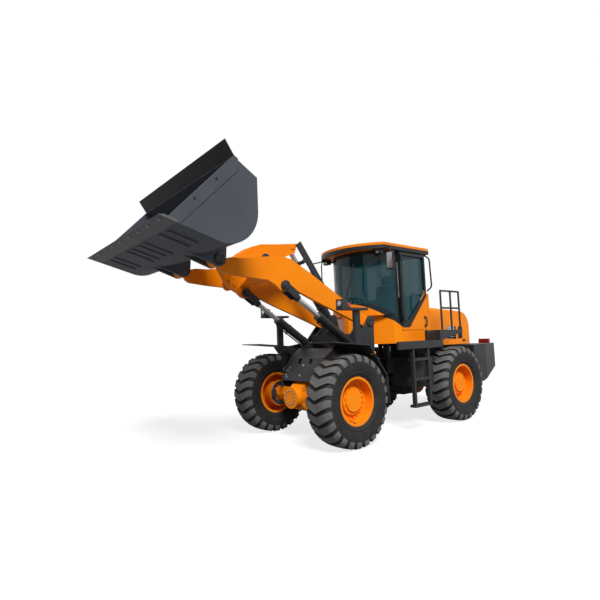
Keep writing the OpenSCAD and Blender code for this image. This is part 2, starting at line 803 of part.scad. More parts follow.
module mirrors() color(black) both() {
    block([mirror_x, mirror_y - mirror_w / 2, mirror_low],
        [mirror_x + mirror_t, mirror_y + mirror_w / 2, mirror_low + mirror_h]);
    tube([mirror_x + mirror_t / 2, mirror_y, mirror_low + mirror_h - over],
        [mirror_x + mirror_t / 2, mirror_y, mirror_arm_z], mirror_r);
    tube([mirror_x + mirror_t / 2, mirror_y + mirror_r, mirror_arm_z],
        [mirror_x + mirror_t / 2, mirror_foot_y, mirror_arm_z], mirror_r);
    block([mirror_x - mirror_t / 2, mirror_foot_y - mirror_t, mirror_arm_z - mirror_r],
        [mirror_x + mirror_t, mirror_foot_y, head_z]);
}

// Roof lamps under the visor
lamp_w = 130;
lamp_h = 85;
lamp_d = 80;

module roof_lamps() color(black) both()
    block([roof_front - 0.6 * lamp_d, 0.83 * roof_out - lamp_w / 2, head_z - lamp_h],
    [roof_front + 0.4 * lamp_d, 0.83 * roof_out + lamp_w / 2, head_z]);

// Exhaust through the hood
stack_x = 1600;
stack_y = 250;
stack_r = 55;
stack_h = 330;

module exhaust() color(black) difference() {
    tube([-stack_x, -stack_y, hood_z - stack_h], [-stack_x, -stack_y, hood_z + stack_h], stack_r);
    hood_body(0);
    block([-stack_x - stack_h, -stack_y - stack_h, 0],
        [-stack_x + stack_h, -stack_y + stack_h, hood_z - stack_h / 2]);
}

// Hood: a shell over the engine, hinged at its front edge
hood_front = 1120;
hood_low = 1345;
hood_t = 22;
hood_slope = 0.05;
hood_round = 320;
hood_edge = 90;
hood_hinge = [-firewall_x, hood_z - hood_edge];
hood_lug_t = 24;

module hood_side2d(inset) {
    low = hood_low - (inset > 0 ? over : 0);
    top_back = hood_z - hood_slope * (hood_back - hood_front);
    mid = [-hood_back + hood_round, top_back - hood_round];
    front = -hood_front + (inset > 0 ? over : 0);
    polygon([[front, low], [front, hood_z - inset], [mid[0], top_back - inset],
        [mid[0], mid[1]], [-hood_back + inset, mid[1]], [-hood_back + inset, low]]);
    intersection() {
        disc2d(mid, hood_round - inset);
        translate(mid - [hood_round, 0]) square(hood_round);
    }
}

module hood_cross2d(inset) {
    half = hood_w / 2 - inset;
    r = hood_edge - inset;
    translate([-half, hood_low - over]) square([2 * half, hood_z - hood_edge - hood_low + over]);
    translate([-half + r, hood_low - over]) square([2 * (half - r), hood_z - inset - hood_low + over]);
    for (side = [-1, 1]) disc2d([side * (half - r), hood_z - hood_edge], r);
}

module hood_body(inset) intersection() {
    plate(-hood_w / 2 - over, hood_w + 2 * over) hood_side2d(inset);
    translate([-hood_back - over, 0, 0]) rotate([90, 0,
        90]) linear_extrude(hood_back - hood_front + 2 * over) hood_cross2d(inset);
}

module hood() color(orange) {
    hood_shell();
    both() plate(rail_y - clear - hood_lug_t, hood_lug_t) difference() {
        union() {
            disc2d(hood_hinge, 2 * hinge_r);
            translate(hood_hinge - [2 * hinge_r, 0]) square([4 * hinge_r, hood_edge - 0.7 * hood_t]);
        }
        disc2d(hood_hinge, hinge_r + fit);
    }
}

module hood_shell() difference() {
    hood_body(0);
    hood_body(hood_t);
    for (y = [-hood_w, hood_w - 2 * hood_w * grille_cut]) plate(y, 2 * hood_w * grille_cut) grille2d(0);
    block([-hood_back - over, -grille_w / 2, grille_low],
        [-hood_back + hood_t + over, grille_w / 2, grille_top]);
}

grille_cut = 0.5;
grille_w = 760;
grille_low = 1420;
grille_top = 1800;
vent_from = 1850;
vent_len = 330;
vent_low = 1450;
vent_h = 260;
slat_t = 14;
slat_n = 7;

module grille2d(inset) translate([-vent_from - vent_len + inset,
    vent_low + inset]) square([vent_len - 2 * inset, vent_h - 2 * inset]);

module hood_grilles() color(black) {
    both() plate(hood_w / 2 - hood_t, hood_t - slat_t / 2) difference() {
        grille2d(fit);
        for (i = [0 : slat_n - 1]) translate([-vent_from - 0.93 * vent_len,
            vent_low + (i + 0.3) * vent_h / slat_n])
            square([0.86 * vent_len, 0.5 * vent_h / slat_n]);
    }
    step = (grille_top - grille_low) / (slat_n + 2);
    difference() {
        block([-hood_back + fit, -grille_w / 2 + fit, grille_low + fit],
            [-hood_back + hood_t - fit, grille_w / 2 - fit, grille_top - fit]);
        for (i = [0 : slat_n + 1]) block([-hood_back - over, -0.46 * grille_w,
            grille_low + (i + 0.3) * step],
            [-hood_back + hood_t + over, 0.46 * grille_w, grille_low + (i + 0.8) * step]);
    }
}

// Rear lamps on the counterweight
rear_lamp_w = 220;
rear_lamp_h = 90;
rear_lamp_d = 60;

module rear_lamps() color("firebrick") both()
    block([-tail_x + clear, 0.55 * tail_w / 2, tail_z],
        [-tail_x + clear + rear_lamp_d, 0.55 * tail_w / 2 + rear_lamp_w, tail_z + rear_lamp_h]);

// Front fenders with lamp posts
guard_in = 605;
guard_out = 1150;
guard_t = 12;
guard_shares = [[0.6526, 1.2727], [-0.4, 1.1774], [-0.9474, 0.4834]];
lamp_post_x = 1150;
lamp_post_w = 110;
lamp_post_y = 900;
lamp_post_z = 1960;
lamp_arm = 360;

module guard2d() {
    p = [for (s = guard_shares) [axle_x, axle_z] + s * tyre_od / 2];
    polygon(concat(p, [p[2] + [guard_t, -guard_t], p[1] + [guard_t / 2, -guard_t], p[0] - [0, guard_t]]));
}

module front_fenders() color(black) both() {
    plate(guard_in, guard_out - guard_in) guard2d();
    block([lamp_post_x - lamp_post_w / 2, lamp_post_y,
        axle_z + guard_shares[1][1] * tyre_od / 2 - guard_t],
        [lamp_post_x + lamp_post_w / 2, lamp_post_y + lamp_post_w / 2, lamp_post_z]);
    block([lamp_post_x - lamp_arm / 2, lamp_post_y - lamp_post_w / 4, lamp_post_z],
        [lamp_post_x + lamp_arm, lamp_post_y + lamp_post_w, lamp_post_z + lamp_post_w / 3]);
}

head_lamp_w = 130;
head_lamp_h = 120;
head_lamp_d = 110;

module headlamps() color(steel) both() translate([lamp_post_x + lamp_arm - head_lamp_d,
    lamp_post_y - lamp_post_w / 4, lamp_post_z + lamp_post_w / 3])
    cube([head_lamp_d, head_lamp_w, head_lamp_h]);

// Boom: two arms, a cross tube and the lever's brackets
nose_r = 97;
arm_boss_t = 2 * (tower_y - arm_y - clear);
nose_boss_t = 120;
bucket_pin_r = 38;
crank_pin_r = 40;
tube_r = 95;
bracket_y = 112;
bracket_t = 40;
bracket_r = 100;

module boom_arm2d() difference() {
    union() {
        polygon([for (s = concat([[0, 0.031]], arm_top_shares, [[1, 0]], arm_under_shares, [[0,
            -0.031]])) on_boom(s)]);
        disc2d(boom_pin, boom_boss_r);
        disc2d(bucket_pin, nose_r);
        disc2d(lift_eye, boom_boss_r);
    }
    disc2d(boom_pin, boom_pin_r + fit);
    disc2d(lift_eye, lift_pin_r + fit);
    disc2d(bucket_pin, bucket_pin_r + fit);
}

module boom() color(orange) {
    both() {
        plate(arm_y - arm_t / 2, arm_t) boom_arm2d();
        plate(arm_y - arm_boss_t / 2, arm_boss_t) difference() {
            disc2d(boom_pin, boom_boss_r);
            disc2d(boom_pin, boom_pin_r + fit);
        }
        plate(arm_y - nose_boss_t / 2, nose_boss_t) difference() {
            disc2d(bucket_pin, nose_r);
            disc2d(bucket_pin, bucket_pin_r + fit);
        }
        plate(bracket_y, bracket_t) {
            disc2d(crank_pin, bracket_r);
            bar2d(crank_pin, cross_tube, bracket_r, 0.86 * tube_r);
        }
    }
    pin(cross_tube, tube_r, -arm_y + arm_t / 4, 2 * arm_y - arm_t / 2);
    pin(crank_pin, crank_pin_r, -bracket_y - over, 2 * (bracket_y + over));
}

// Lever between the tilt cylinder and the bucket's link: two cheeks on one boss
cheek_y = 60;
cheek_t = 42;
crank_boss_r = 125;
// Relief for the cross tube over the lever's turn
relief_deg = 13;
relief_n = 4;
crank_end_r = 78;
crank_stub_r = 34;
crank_top_shares = [[0.477, 0.318], [0.606, 0.262], [0.703, 0.223], [0.756, 0.187], [0.79, 0.151],
    [0.835, 0.097],
    [0.837, -0.016]];
crank_under_shares = [[0.776, -0.04], [0.72, 0.06], [0.66, 0.105], [0.6, 0.155], [0.56, 0.2],
    [0.478, 0.262]];

module bell_crank() color(orange) difference() {
    union() {
        both() plate(cheek_y, cheek_t) {
            difference() {
                polygon([for (s = concat(crank_top_shares, crank_under_shares)) on_boom(s)]);
                for (i = [0 : relief_n]) translate(crank_pin) rotate(i * relief_deg / relief_n)
                    disc2d(cross_tube - crank_pin, tube_r + clear);
            }
            disc2d(crank_link, crank_end_r);
        }
        pin(crank_pin, crank_boss_r, -cheek_y - over, 2 * (cheek_y + over));
        for (y = [-cheek_y - cheek_t - stub, cheek_y + cheek_t - over]) {
            pin(crank_tilt, crank_stub_r, y, stub + over);
            pin(crank_link, crank_stub_r, y, stub + over);
        }
    }
    pin(crank_pin, crank_pin_r + fit, -bracket_y, 2 * bracket_y);
}

// Link from the lever to the bucket
link_t = 100;
link_r = 62;
link_pin_r = 32;

module bucket_link() color(orange) difference() {
    plate(-link_t / 2, link_t) bar2d(link_pin, crank_link, link_r, link_r);
    pin(link_pin, link_pin_r + fit, -link_t, 2 * link_t);
    pin(crank_link, link_pin_r, -link_t, 2 * link_t);
}

// Bucket, drawn in its own frame about the bucket pin
ear_r = 96;
ear_t = 45;
ear_in = arm_y - nose_boss_t / 2 - clear - ear_t;
ear_out = arm_y + nose_boss_t / 2 + clear;
link_lug_t = 40;
link_lug_r = 74;
side_t = 20;
// Wear strips under the floor
wear_t = 12;
wear_w = 70;
wear_y_shares = [0.06, 0.2, 0.56, 0.72];
wear_x_shares = [0.45, 0.78];

module at_bucket() translate([bucket_pin[0], 0, bucket_pin[1]]) rotate([0, -bucket_deg, 0]) children();

module wrap_cut2d() polygon([wrap_mid, wrap_mid - [0, 2 * wrap_r], wrap_mid - [2 * wrap_r, 2 * wrap_r],
    wrap_mid - [2 * wrap_r, 0],
    wrap_mid + 2 * wrap_r * [-cos(back_lean), sin(back_lean)]]);

module bucket_skin2d() {
    intersection() {
        difference() { disc2d(wrap_mid, wrap_r); disc2d(wrap_mid, wrap_r - sheet_t); }
        wrap_cut2d();
    }
    translate([wrap_x, -floor_drop]) square([floor_end - wrap_x, sheet_t]);
    translate(back_foot) rotate(-back_lean) square([sheet_t, back_len]);
    translate(back_head) rotate(top_rise) translate([0, -sheet_t]) square([top_len, sheet_t]);
}

module bucket_side2d() {
    polygon([[wrap_x, -floor_drop], [floor_end, -floor_drop], [floor_end, -floor_drop + edge_t],
        [mouth_foot, -floor_drop + edge_t], top_tip, back_head, back_foot, wrap_mid]);
    intersection() { disc2d(wrap_mid, wrap_r); wrap_cut2d(); }
}

module ear2d() difference() {
    union() {
        bar2d([0, 0], wrap_mid + [0.1 * wrap_r, -0.9 * wrap_r], ear_r, 0.1 * wrap_r);
        bar2d([0, 0], wrap_mid - [0.93 * wrap_r, -0.05 * wrap_r], ear_r, 0.07 * wrap_r);
    }
    disc2d(wrap_mid, wrap_r - sheet_t / 2);
    translate([wrap_x, -floor_drop + sheet_t / 2]) square(wrap_r);
}

module bucket() color(grey) at_bucket() {
    plate(-bucket_w / 2 + side_t, bucket_w - 2 * side_t) bucket_skin2d();
    both() {
        plate(bucket_w / 2 - side_t, side_t) bucket_side2d();
        for (s = wear_y_shares) block([wear_x_shares[0] * bucket_reach, s * bucket_w / 2,
            -floor_drop - wear_t],
            [wear_x_shares[1] * bucket_reach, s * bucket_w / 2 + wear_w, -floor_drop + over]);
        plate(ear_in, ear_t) ear2d();
        plate(ear_out, ear_t) ear2d();
        pin([0, 0], bucket_pin_r, ear_in, ear_out - ear_in + ear_t);
        plate(link_t / 2 + clear, link_lug_t) difference() {
            bar2d(link_lug, back_foot + [sheet_t / 2, 0], link_lug_r, 1.4 * link_lug_r);
            translate(back_foot + [sheet_t / 2, 0]) rotate(-back_lean) translate([0,
                -2 * link_lug_r]) square(wrap_r);
            disc2d(wrap_mid, wrap_r - sheet_t / 2);
        }
    }
    pin(link_lug, link_pin_r, -link_t / 2 - clear - over, link_t + 2 * (clear + over));
}

module cutting_edge() color(black) at_bucket() plate(-bucket_w / 2, bucket_w) polygon([[floor_end,
    -floor_drop], [bucket_reach, -floor_drop],
    [bucket_reach - edge_bevel, -floor_drop + edge_t], [floor_end, -floor_drop + edge_t]]);

module spill_guard() color(black) at_bucket() plate(-bucket_w / 2,
    bucket_w) translate(top_tip) rotate(top_rise) {
    translate([-guard_foot, 0]) square([guard_foot, guard_sheet]);
    rotate(guard_rise - top_rise) square([guard_len, guard_sheet]);
}

// Cylinders, drawn along +X from the foot's pin
lift_bore_r = 68;
lift_rod_r = 38;
lift_tube = 980;
fork_r = 74;
fork_t = 34;
fork_len = 262;
fork_root_r = 54;
fork_gap = arm_t / 2 + clear;
fork_root = 60;
cap_len = 70;

function span(p, q) = norm(q - p);
function lean(p, q) = atan2(q[1] - p[1], q[0] - p[0]);

module barrel(foot_r, foot_t, pin_r, bore_r, rod_r, len) difference() {
    union() {
        plate(-foot_t / 2, foot_t) disc2d([0, 0], foot_r);
        tube([foot_r / 2, 0, 0], [foot_r + 3 * clear, 0, 0], min(bore_r, 0.45 * foot_t));
        tube([foot_r + 2 * clear, 0, 0], [len - cap_len, 0, 0], bore_r);
        tube([len - cap_len - over, 0, 0], [len, 0, 0], bore_r + clear / 2);
    }
    pin([0, 0], pin_r + fit, -foot_t, 2 * foot_t);
    tube([2 * foot_r, 0, 0], [len + over, 0, 0], rod_r + fit);
}

module along(p, q, y) translate([p[0], y, p[1]]) rotate([0, -lean(p, q), 0]) children();

module lift_barrel(side) color(grey) along(lift_foot, lift_eye, side * arm_y)
    barrel(lift_foot_r, 2 * (tower_y - arm_y - clear), lift_pin_r, lift_bore_r, lift_rod_r, lift_tube);

module lift_rod(side) {
    reach = span(lift_foot, lift_eye);
    along(lift_foot, lift_eye, side * arm_y) {
        color(steel) tube([lift_start, 0, 0], [reach - fork_len, 0, 0], lift_rod_r);
        color(grey) {
            tube([reach - fork_len - fork_root, 0, 0], [reach - fork_len + over, 0, 0], fork_root_r);
            block([reach - fork_len, -fork_gap - fork_t, -fork_root_r],
                [reach - fork_len + stub, fork_gap + fork_t, fork_root_r]);
            for (y = [-fork_gap - fork_t, fork_gap]) plate(y, fork_t) {
                disc2d([reach, 0], fork_r);
                translate([reach - fork_len, -fork_root_r]) square([fork_len, 2 * fork_root_r]);
            }
            pin([reach, 0], lift_pin_r, -fork_gap - fork_t - stub, 2 * (fork_gap + fork_t + stub));
        }
    }
}

lift_start = 600;
tilt_start = 430;
tilt_bore_r = 72;
tilt_rod_r = 40;
tilt_tube = 810;
tilt_eye_r = 66;
tilt_eye_t = 96;
tilt_foot_t = 144;

module tilt_barrel() color(grey) along(tilt_foot, crank_tilt, 0)
    barrel(tilt_foot_r, tilt_foot_t, tilt_pin_r, tilt_bore_r, tilt_rod_r, tilt_tube);

module tilt_rod() {
    reach = span(tilt_foot, crank_tilt);
    along(tilt_foot, crank_tilt, 0) color(steel) {
        tube([tilt_start, 0, 0], [reach - tilt_eye_r / 2, 0, 0], tilt_rod_r);
        difference() {
            plate(-tilt_eye_t / 2, tilt_eye_t) disc2d([reach, 0], tilt_eye_r);
            pin([reach, 0], crank_stub_r, -tilt_eye_t, 2 * tilt_eye_t);
        }
    }
}

// Bar beside the tilt cylinder that shows the bucket's angle
bar_w = 110;
bar_t = 26;
bar_len = 1150;
bar_y = 126;
bar_off = 60;
bar_clamp = 290;
clamp_r = 30;

module leveller() color(orange) {
    reach = span(tilt_foot, crank_tilt);
    along(tilt_foot, crank_tilt, 0) {
        plate(bar_y, bar_t) {
            translate([reach - bar_len, bar_off]) square([bar_len, bar_w]);
            disc2d([reach - bar_len, bar_off + bar_w / 2], bar_w / 2);
            translate([reach - bar_clamp - clamp_r, 0]) square([2 * clamp_r, bar_off + over]);
        }
        difference() {
            pin([reach - bar_clamp, 0], clamp_r, 0, bar_y + over);
            tube([0, 0, 0], [reach, 0, 0], tilt_rod_r + fit);
        }
    }
}

steer_pin_r = 22;
steer_bore_r = 42;
steer_rod_r = 24;
steer_tube = 540;
steer_start = 310;

module steer_along(side) translate([steer_foot[0], side * steer_foot[1], steer_z])
    rotate([0, 0, side * lean(steer_foot, steer_eye)]) rotate([90, 0, 0]) children();

module steer_barrel(side) color(grey) steer_along(side)
    barrel(steer_eye_r, steer_eye_t, steer_pin_r, steer_bore_r, steer_rod_r, steer_tube);

module steer_rod(side) {
    reach = span(steer_foot, steer_eye);
    color(steel) steer_along(side) {
        tube([steer_start, 0, 0], [reach - steer_eye_r / 2, 0, 0], steer_rod_r);
        difference() {
            plate(-steer_eye_t / 2, steer_eye_t) disc2d([reach, 0], steer_eye_r);
            pin([reach, 0], steer_pin_r, -steer_eye_t, 2 * steer_eye_t);
        }
    }
}

place() rear_frame();
place() counterweight();
place() rear_axle();
place() engine();
place() rear_shaft();
place() fuel_tank();
place() platforms();
place() ladders();
place() rear_fenders();
place() handrails();
place() cab_base();
place() cab_frame();
place() cab_roof();
place() cab_glass();
place() seat();
place() console();
place() mirrors();
place() roof_lamps();
place() exhaust();
place() hood();
place() hood_grilles();
place() rear_lamps();
place() door();
place() door_glass();
place() front_frame();
place() front_axle();
place() front_shaft();
place() front_fenders();
place() headlamps();
place() boom();
place() bell_crank();
place() bucket_link();
place() bucket();
place() cutting_edge();
place() spill_guard();
place() lift_barrel(1);  // lift_barrel_left
place() lift_barrel(-1);  // lift_barrel_right
place() lift_rod(1);  // lift_rod_left
place() lift_rod(-1);  // lift_rod_right
place() tilt_barrel();
place() tilt_rod();
place() leveller();
place() steer_barrel(1);  // steer_barrel_left
place() steer_barrel(-1);  // steer_barrel_right
place() steer_rod(1);  // steer_rod_left
place() steer_rod(-1);  // steer_rod_right
place() wheel_at(1, 1) tyre();  // tyre_front_left
place() wheel_at(1, -1) tyre();  // tyre_front_right
place() wheel_at(-1, 1) tyre();  // tyre_rear_left
place() wheel_at(-1, -1) tyre();  // tyre_rear_right
place() wheel_at(1, 1) rim();  // rim_front_left
place() wheel_at(1, -1) rim();  // rim_front_right
place() wheel_at(-1, 1) rim();  // rim_rear_left
place() wheel_at(-1, -1) rim();  // rim_rear_right
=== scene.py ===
from math import copysign, cos, exp, pi, radians, sin
from types import SimpleNamespace as Spec

import bmesh
import bpy
from mathutils import Matrix, Vector
from mathutils.geometry import convex_hull_2d, interpolate_bezier


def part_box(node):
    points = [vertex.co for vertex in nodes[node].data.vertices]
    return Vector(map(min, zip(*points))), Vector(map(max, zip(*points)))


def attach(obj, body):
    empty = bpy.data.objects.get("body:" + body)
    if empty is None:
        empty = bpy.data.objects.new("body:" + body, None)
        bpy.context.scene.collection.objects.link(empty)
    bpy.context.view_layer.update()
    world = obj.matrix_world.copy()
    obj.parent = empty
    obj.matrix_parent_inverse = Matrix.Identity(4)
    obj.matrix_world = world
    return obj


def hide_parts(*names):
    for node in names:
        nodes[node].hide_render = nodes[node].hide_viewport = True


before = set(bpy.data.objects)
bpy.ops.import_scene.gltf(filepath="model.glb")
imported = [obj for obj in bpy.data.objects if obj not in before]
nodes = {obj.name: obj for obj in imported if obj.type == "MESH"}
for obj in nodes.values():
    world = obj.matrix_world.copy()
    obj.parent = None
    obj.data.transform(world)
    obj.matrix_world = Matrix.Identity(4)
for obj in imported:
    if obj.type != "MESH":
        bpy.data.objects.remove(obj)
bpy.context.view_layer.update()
hingeX = -0.574943  # the middle hinge, in the row frame
bothSides = (1, -1)  # the driver's left, then right
seated = 0.001  # depth that trim sits in the face under it
print("frame loaded:", len(nodes), "nodes")


# shader helpers
def put(node, label, value):
    socket = node.inputs[label]
    if isinstance(value, bpy.types.NodeSocket):
        node.id_data.links.new(value, socket)
    else:
        socket.default_value = (*value, 1) if socket.type == "RGBA" else value


def addNode(tree, kind, **values):
    node = tree.nodes.new("ShaderNode" + kind)
    for key, value in values.items():
        if key in node.inputs:
            put(node, key, value)
        else:
            setattr(node, key, value)
    return node


def doMath(operation, a, b, clamp=False):
    tree = (a if isinstance(a, bpy.types.NodeSocket) else b).id_data
    node = addNode(tree, "Math", operation=operation, use_clamp=clamp)
    put(node, 0, a)
    put(node, 1, b)
    return node.outputs[0]


def times(a, b, clamp=False):
    return doMath("MULTIPLY", a, b, clamp)


def plus(a, b, clamp=False):
    return doMath("ADD", a, b, clamp)


def minus(a, b, clamp=False):
    return doMath("SUBTRACT", a, b, clamp)


def blendColour(amount, a, b):
    node = addNode(amount.id_data, "Mix", data_type="RGBA")
    for place, value in ((0, amount), (6, a), (7, b)):  # the node's factor and its two colours
        put(node, place, value)
    return node.outputs[2]


def stepRamp(value, low, high):
    ends = {"From Min": low, "From Max": high, "Value": value}
    return addNode(value.id_data, "MapRange", interpolation_type="SMOOTHSTEP", **ends).outputs[0]


def noiseAt(where, scale, detail, rough=0.55):
    look = {"Scale": scale, "Detail": detail, "Roughness": rough}
    return addNode(where.id_data, "TexNoise", Vector=where, **look).outputs[0]


def patches(where, scale, detail, rough, low, high):
    return stepRamp(noiseAt(where, scale, detail, rough), low, high)


def cellsAt(where, scale):
    return addNode(where.id_data, "TexVoronoi", Scale=scale, Vector=where).outputs["Distance"]


def objectSpot(tree):
    return addNode(tree, "TexCoord").outputs["Object"]


def newFinish(name, **constants):
    finish = bpy.data.materials.new(name)
    finish.use_nodes = True
    shader = finish.node_tree.nodes["Principled BSDF"]
    for label, value in constants.items():
        put(shader, label, value)
    return finish, finish.node_tree, shader


def addObject(name, data):
    thing = bpy.data.objects.new(name, data)
    bpy.context.scene.collection.objects.link(thing)
    return thing


# camera, light and floor; focal, centre and frame are in the photograph's pixels
view = Spec(spot=(6.054, 5.358, 1.5728), azimuth=4.0425, rise=0.0709, roll=-0.0382, focal=438.7662,
    centre=(282.292, 308.1657), frame=600, sensor=36, farthest=300)


def makeCamera():
    az, el, roll = view.azimuth, view.rise, view.roll
    ahead = Vector((cos(az) * cos(el), sin(az) * cos(el), sin(el)))
    right = Vector((sin(az), -cos(az), 0))
    up = right.cross(ahead)
    c, s = cos(roll), sin(roll)
    right, up = c * right + s * up, c * up - s * right
    data = bpy.data.cameras.new("photoView")
    data.sensor_width = view.sensor
    data.lens = view.focal * view.sensor / view.frame
    data.shift_x = 0.5 - view.centre[0] / view.frame
    data.shift_y = view.centre[1] / view.frame - 0.5
    data.clip_end = view.farthest
    camera = addObject("photoView", data)
    turn = Matrix((right, up, -ahead)).transposed().to_4x4()
    place = Vector(view.spot) + Vector((hingeX, 0, 0))
    camera.matrix_world = Matrix.Translation(place) @ turn
    bpy.context.scene.camera = camera


light = {"sun": 3.7, "softness": 20, "from": (0.42, 0.8, 0.95), "sky": (0.93, 0.97, 1.0), "skyLevel": 0.27}


def makeLight():
    data = bpy.data.lights.new("softSun", "SUN")
    data.energy = light["sun"]
    data.angle = radians(light["softness"])
    lamp = addObject("softSun", data)
    lamp.rotation_mode = "QUATERNION"
    lamp.rotation_quaternion = (-Vector(light["from"])).to_track_quat("-Z", "Y")
    world = bpy.data.worlds.new("studio")
    bpy.context.scene.world = world
    world.use_nodes = True
    tree = world.node_tree
    tree.nodes.clear()
    fill = addNode(tree, "Background", Color=light["sky"], Strength=light["skyLevel"])
    white = addNode(tree, "Background", Color=(1, 1, 1))  # seen directly and in mirrors
    rays = addNode(tree, "LightPath").outputs
    mirrored = doMath("MAXIMUM", rays["Is Glossy Ray"], rays["Is Transmission Ray"])
    seen = doMath("MAXIMUM", rays["Is Camera Ray"], mirrored, True)
    mix = addNode(tree, "MixShader")
    for place, value in enumerate((seen, fill.outputs[0], white.outputs[0])):
        put(mix, place, value)
    addNode(tree, "OutputWorld", Surface=mix.outputs[0])


floor = Spec(half=90, lift=0.77,
    shader={"Base Color": (0.28, 0.28, 0.28), "Roughness": 0.9, "Specular IOR Level": 0.0,
        "Emission Color": (1, 1, 1)})


def makeFloor():
    mesh = bpy.data.meshes.new("floor")
    h = floor.half
    mesh.from_pydata([(-h, -h, 0), (h, -h, 0), (h, h, 0), (-h, h, 0)], [], [(0, 1, 2, 3)])
    ground = addObject("floor", mesh)
    paint, tree, shader = newFinish("paleFloor", **floor.shader)
    rays = addNode(tree, "LightPath").outputs
    put(shader, "Emission Strength", times(rays["Is Camera Ray"], floor.lift))
    mesh.materials.append(paint)


makeCamera()
makeLight()
makeFloor()
bpy.context.scene.view_settings.view_transform = "Standard"
print("camera, light and floor set")


# shared effects, as node groups
def newGroup(name, inputs, outputs):
    group = bpy.data.node_groups.new(name, "ShaderNodeTree")
    for way, sockets in (("INPUT", inputs), ("OUTPUT", outputs)):
        for label, kind in sockets.items():
            group.interface.new_socket(label, in_out=way, socket_type="NodeSocket" + kind)
    return group, group.nodes.new("NodeGroupInput").outputs, group.nodes.new("NodeGroupOutput")


def useGroup(tree, group, **values):
    return addNode(tree, "Group", node_tree=group, **values).outputs


# a noise is scale, detail and roughness, and patches add the low and high end of a ramp
weather = Spec(mottle=(1.7, 5, 0.55, 0.35, 0.7), speck=(11, 8, 0.7, 0.42, 0.72), thinFilm=0.12,
    evenDust=0.25, dullness=0.4, fine=(60, 3), fineRough=0.08, peel=(240, 2), dustDepth=0.5)


def makeWeather():
    group, given, out = newGroup(
        "paintWeather", {"Colour": "Color", "Faded": "Color", "Dust": "Color", "Dust Amount": "Float",
                         "Dust Height": "Float", "Gloss": "Float"},
        {"Colour": "Color", "Roughness": "Float", "Height": "Float"})
    where = objectSpot(group)
    split = addNode(group, "SeparateXYZ", Vector=where).outputs
    speck = patches(where, *weather.speck)
    height = doMath("DIVIDE", split["Z"], given["Dust Height"])
    low = minus(1.0, height, True)
    film = times(plus(low, weather.thinFilm), given["Dust Amount"])
    dust = times(film, plus(speck, weather.evenDust), True)
    tone = blendColour(patches(where, *weather.mottle), given["Colour"], given["Faded"])
    put(out, "Colour", blendColour(dust, tone, given["Dust"]))
    fine = times(noiseAt(where, *weather.fine), weather.fineRough)
    rough = plus(given["Gloss"], times(dust, weather.dullness))
    put(out, "Roughness", plus(rough, fine, True))
    depth = times(dust, weather.dustDepth)
    put(out, "Height", plus(noiseAt(where, *weather.peel), depth))
    return group


edgeLook = Spec(samples=4, gain=7.0, chips=(26, 6, 0.65, 0.42, 0.62))


def makeEdgeWear():
    group, given, out = newGroup("edgeWear", {"Reach": "Float", "Amount": "Float"},
                                 {"Mask": "Float", "Normal": "Vector"})
    soft = addNode(group, "Bevel", samples=edgeLook.samples, Radius=given["Reach"]).outputs[0]
    facing = addNode(group, "VectorMath", operation="DOT_PRODUCT")
    put(facing, 0, soft)
    put(facing, 1, addNode(group, "NewGeometry").outputs["Normal"])
    turned = minus(1.0, facing.outputs["Value"])
    edge = times(turned, edgeLook.gain, True)
    chips = patches(objectSpot(group), *edgeLook.chips)
    put(out, "Mask", times(times(edge, chips), given["Amount"], True))
    put(out, "Normal", soft)
    return group


scuffLook = Spec(lines=(1.0, 6, 0.7, 0.52, 0.7), areas=(3.1, 3, 0.55, 0.4, 0.65))


def makeScuffs():
    group, given, out = newGroup("scuffs", {"Along": "Vector", "Amount": "Float"}, {"Mask": "Float"})
    where = objectSpot(group)
    stretch = addNode(group, "VectorMath", operation="MULTIPLY")
    put(stretch, 0, where)
    put(stretch, 1, given["Along"])
    lines = patches(stretch.outputs[0], *scuffLook.lines)
    areas = patches(where, *scuffLook.areas)
    both = times(lines, areas)
    put(out, "Mask", times(both, given["Amount"], True))
    return group


# where the cab's paint ends and its dark glass begins: level at the door, rising before and behind it
glassLine = Spec(sill=1.715, front=(-0.2, 0.72), back=(-0.44, -1.42), blur=0.002)


def makeGlassLine():
    group, _, out = newGroup("glassLine", {}, {"Mask": "Float"})
    split = addNode(group, "SeparateXYZ", Vector=objectSpot(group)).outputs
    line = 0.0
    for start, slope in (glassLine.front, glassLine.back):
        run = minus(split["X"], start + hingeX)
        line = doMath("MAXIMUM", line, times(run, slope))
    above = minus(split["Z"], plus(line, glassLine.sill))
    put(out, "Mask", stepRamp(above, -glassLine.blur, glassLine.blur))
    return group


paintWeather = makeWeather()
edgeWear = makeEdgeWear()
scuffs = makeScuffs()
glassEdge = makeGlassLine()


def setBump(shader, height, strength, distance, normal=None):
    bump = addNode(shader.id_data, "Bump", Strength=strength, Distance=distance, Height=height)
    if normal is not None:
        put(bump, "Normal", normal)
    put(shader, "Normal", bump.outputs[0])


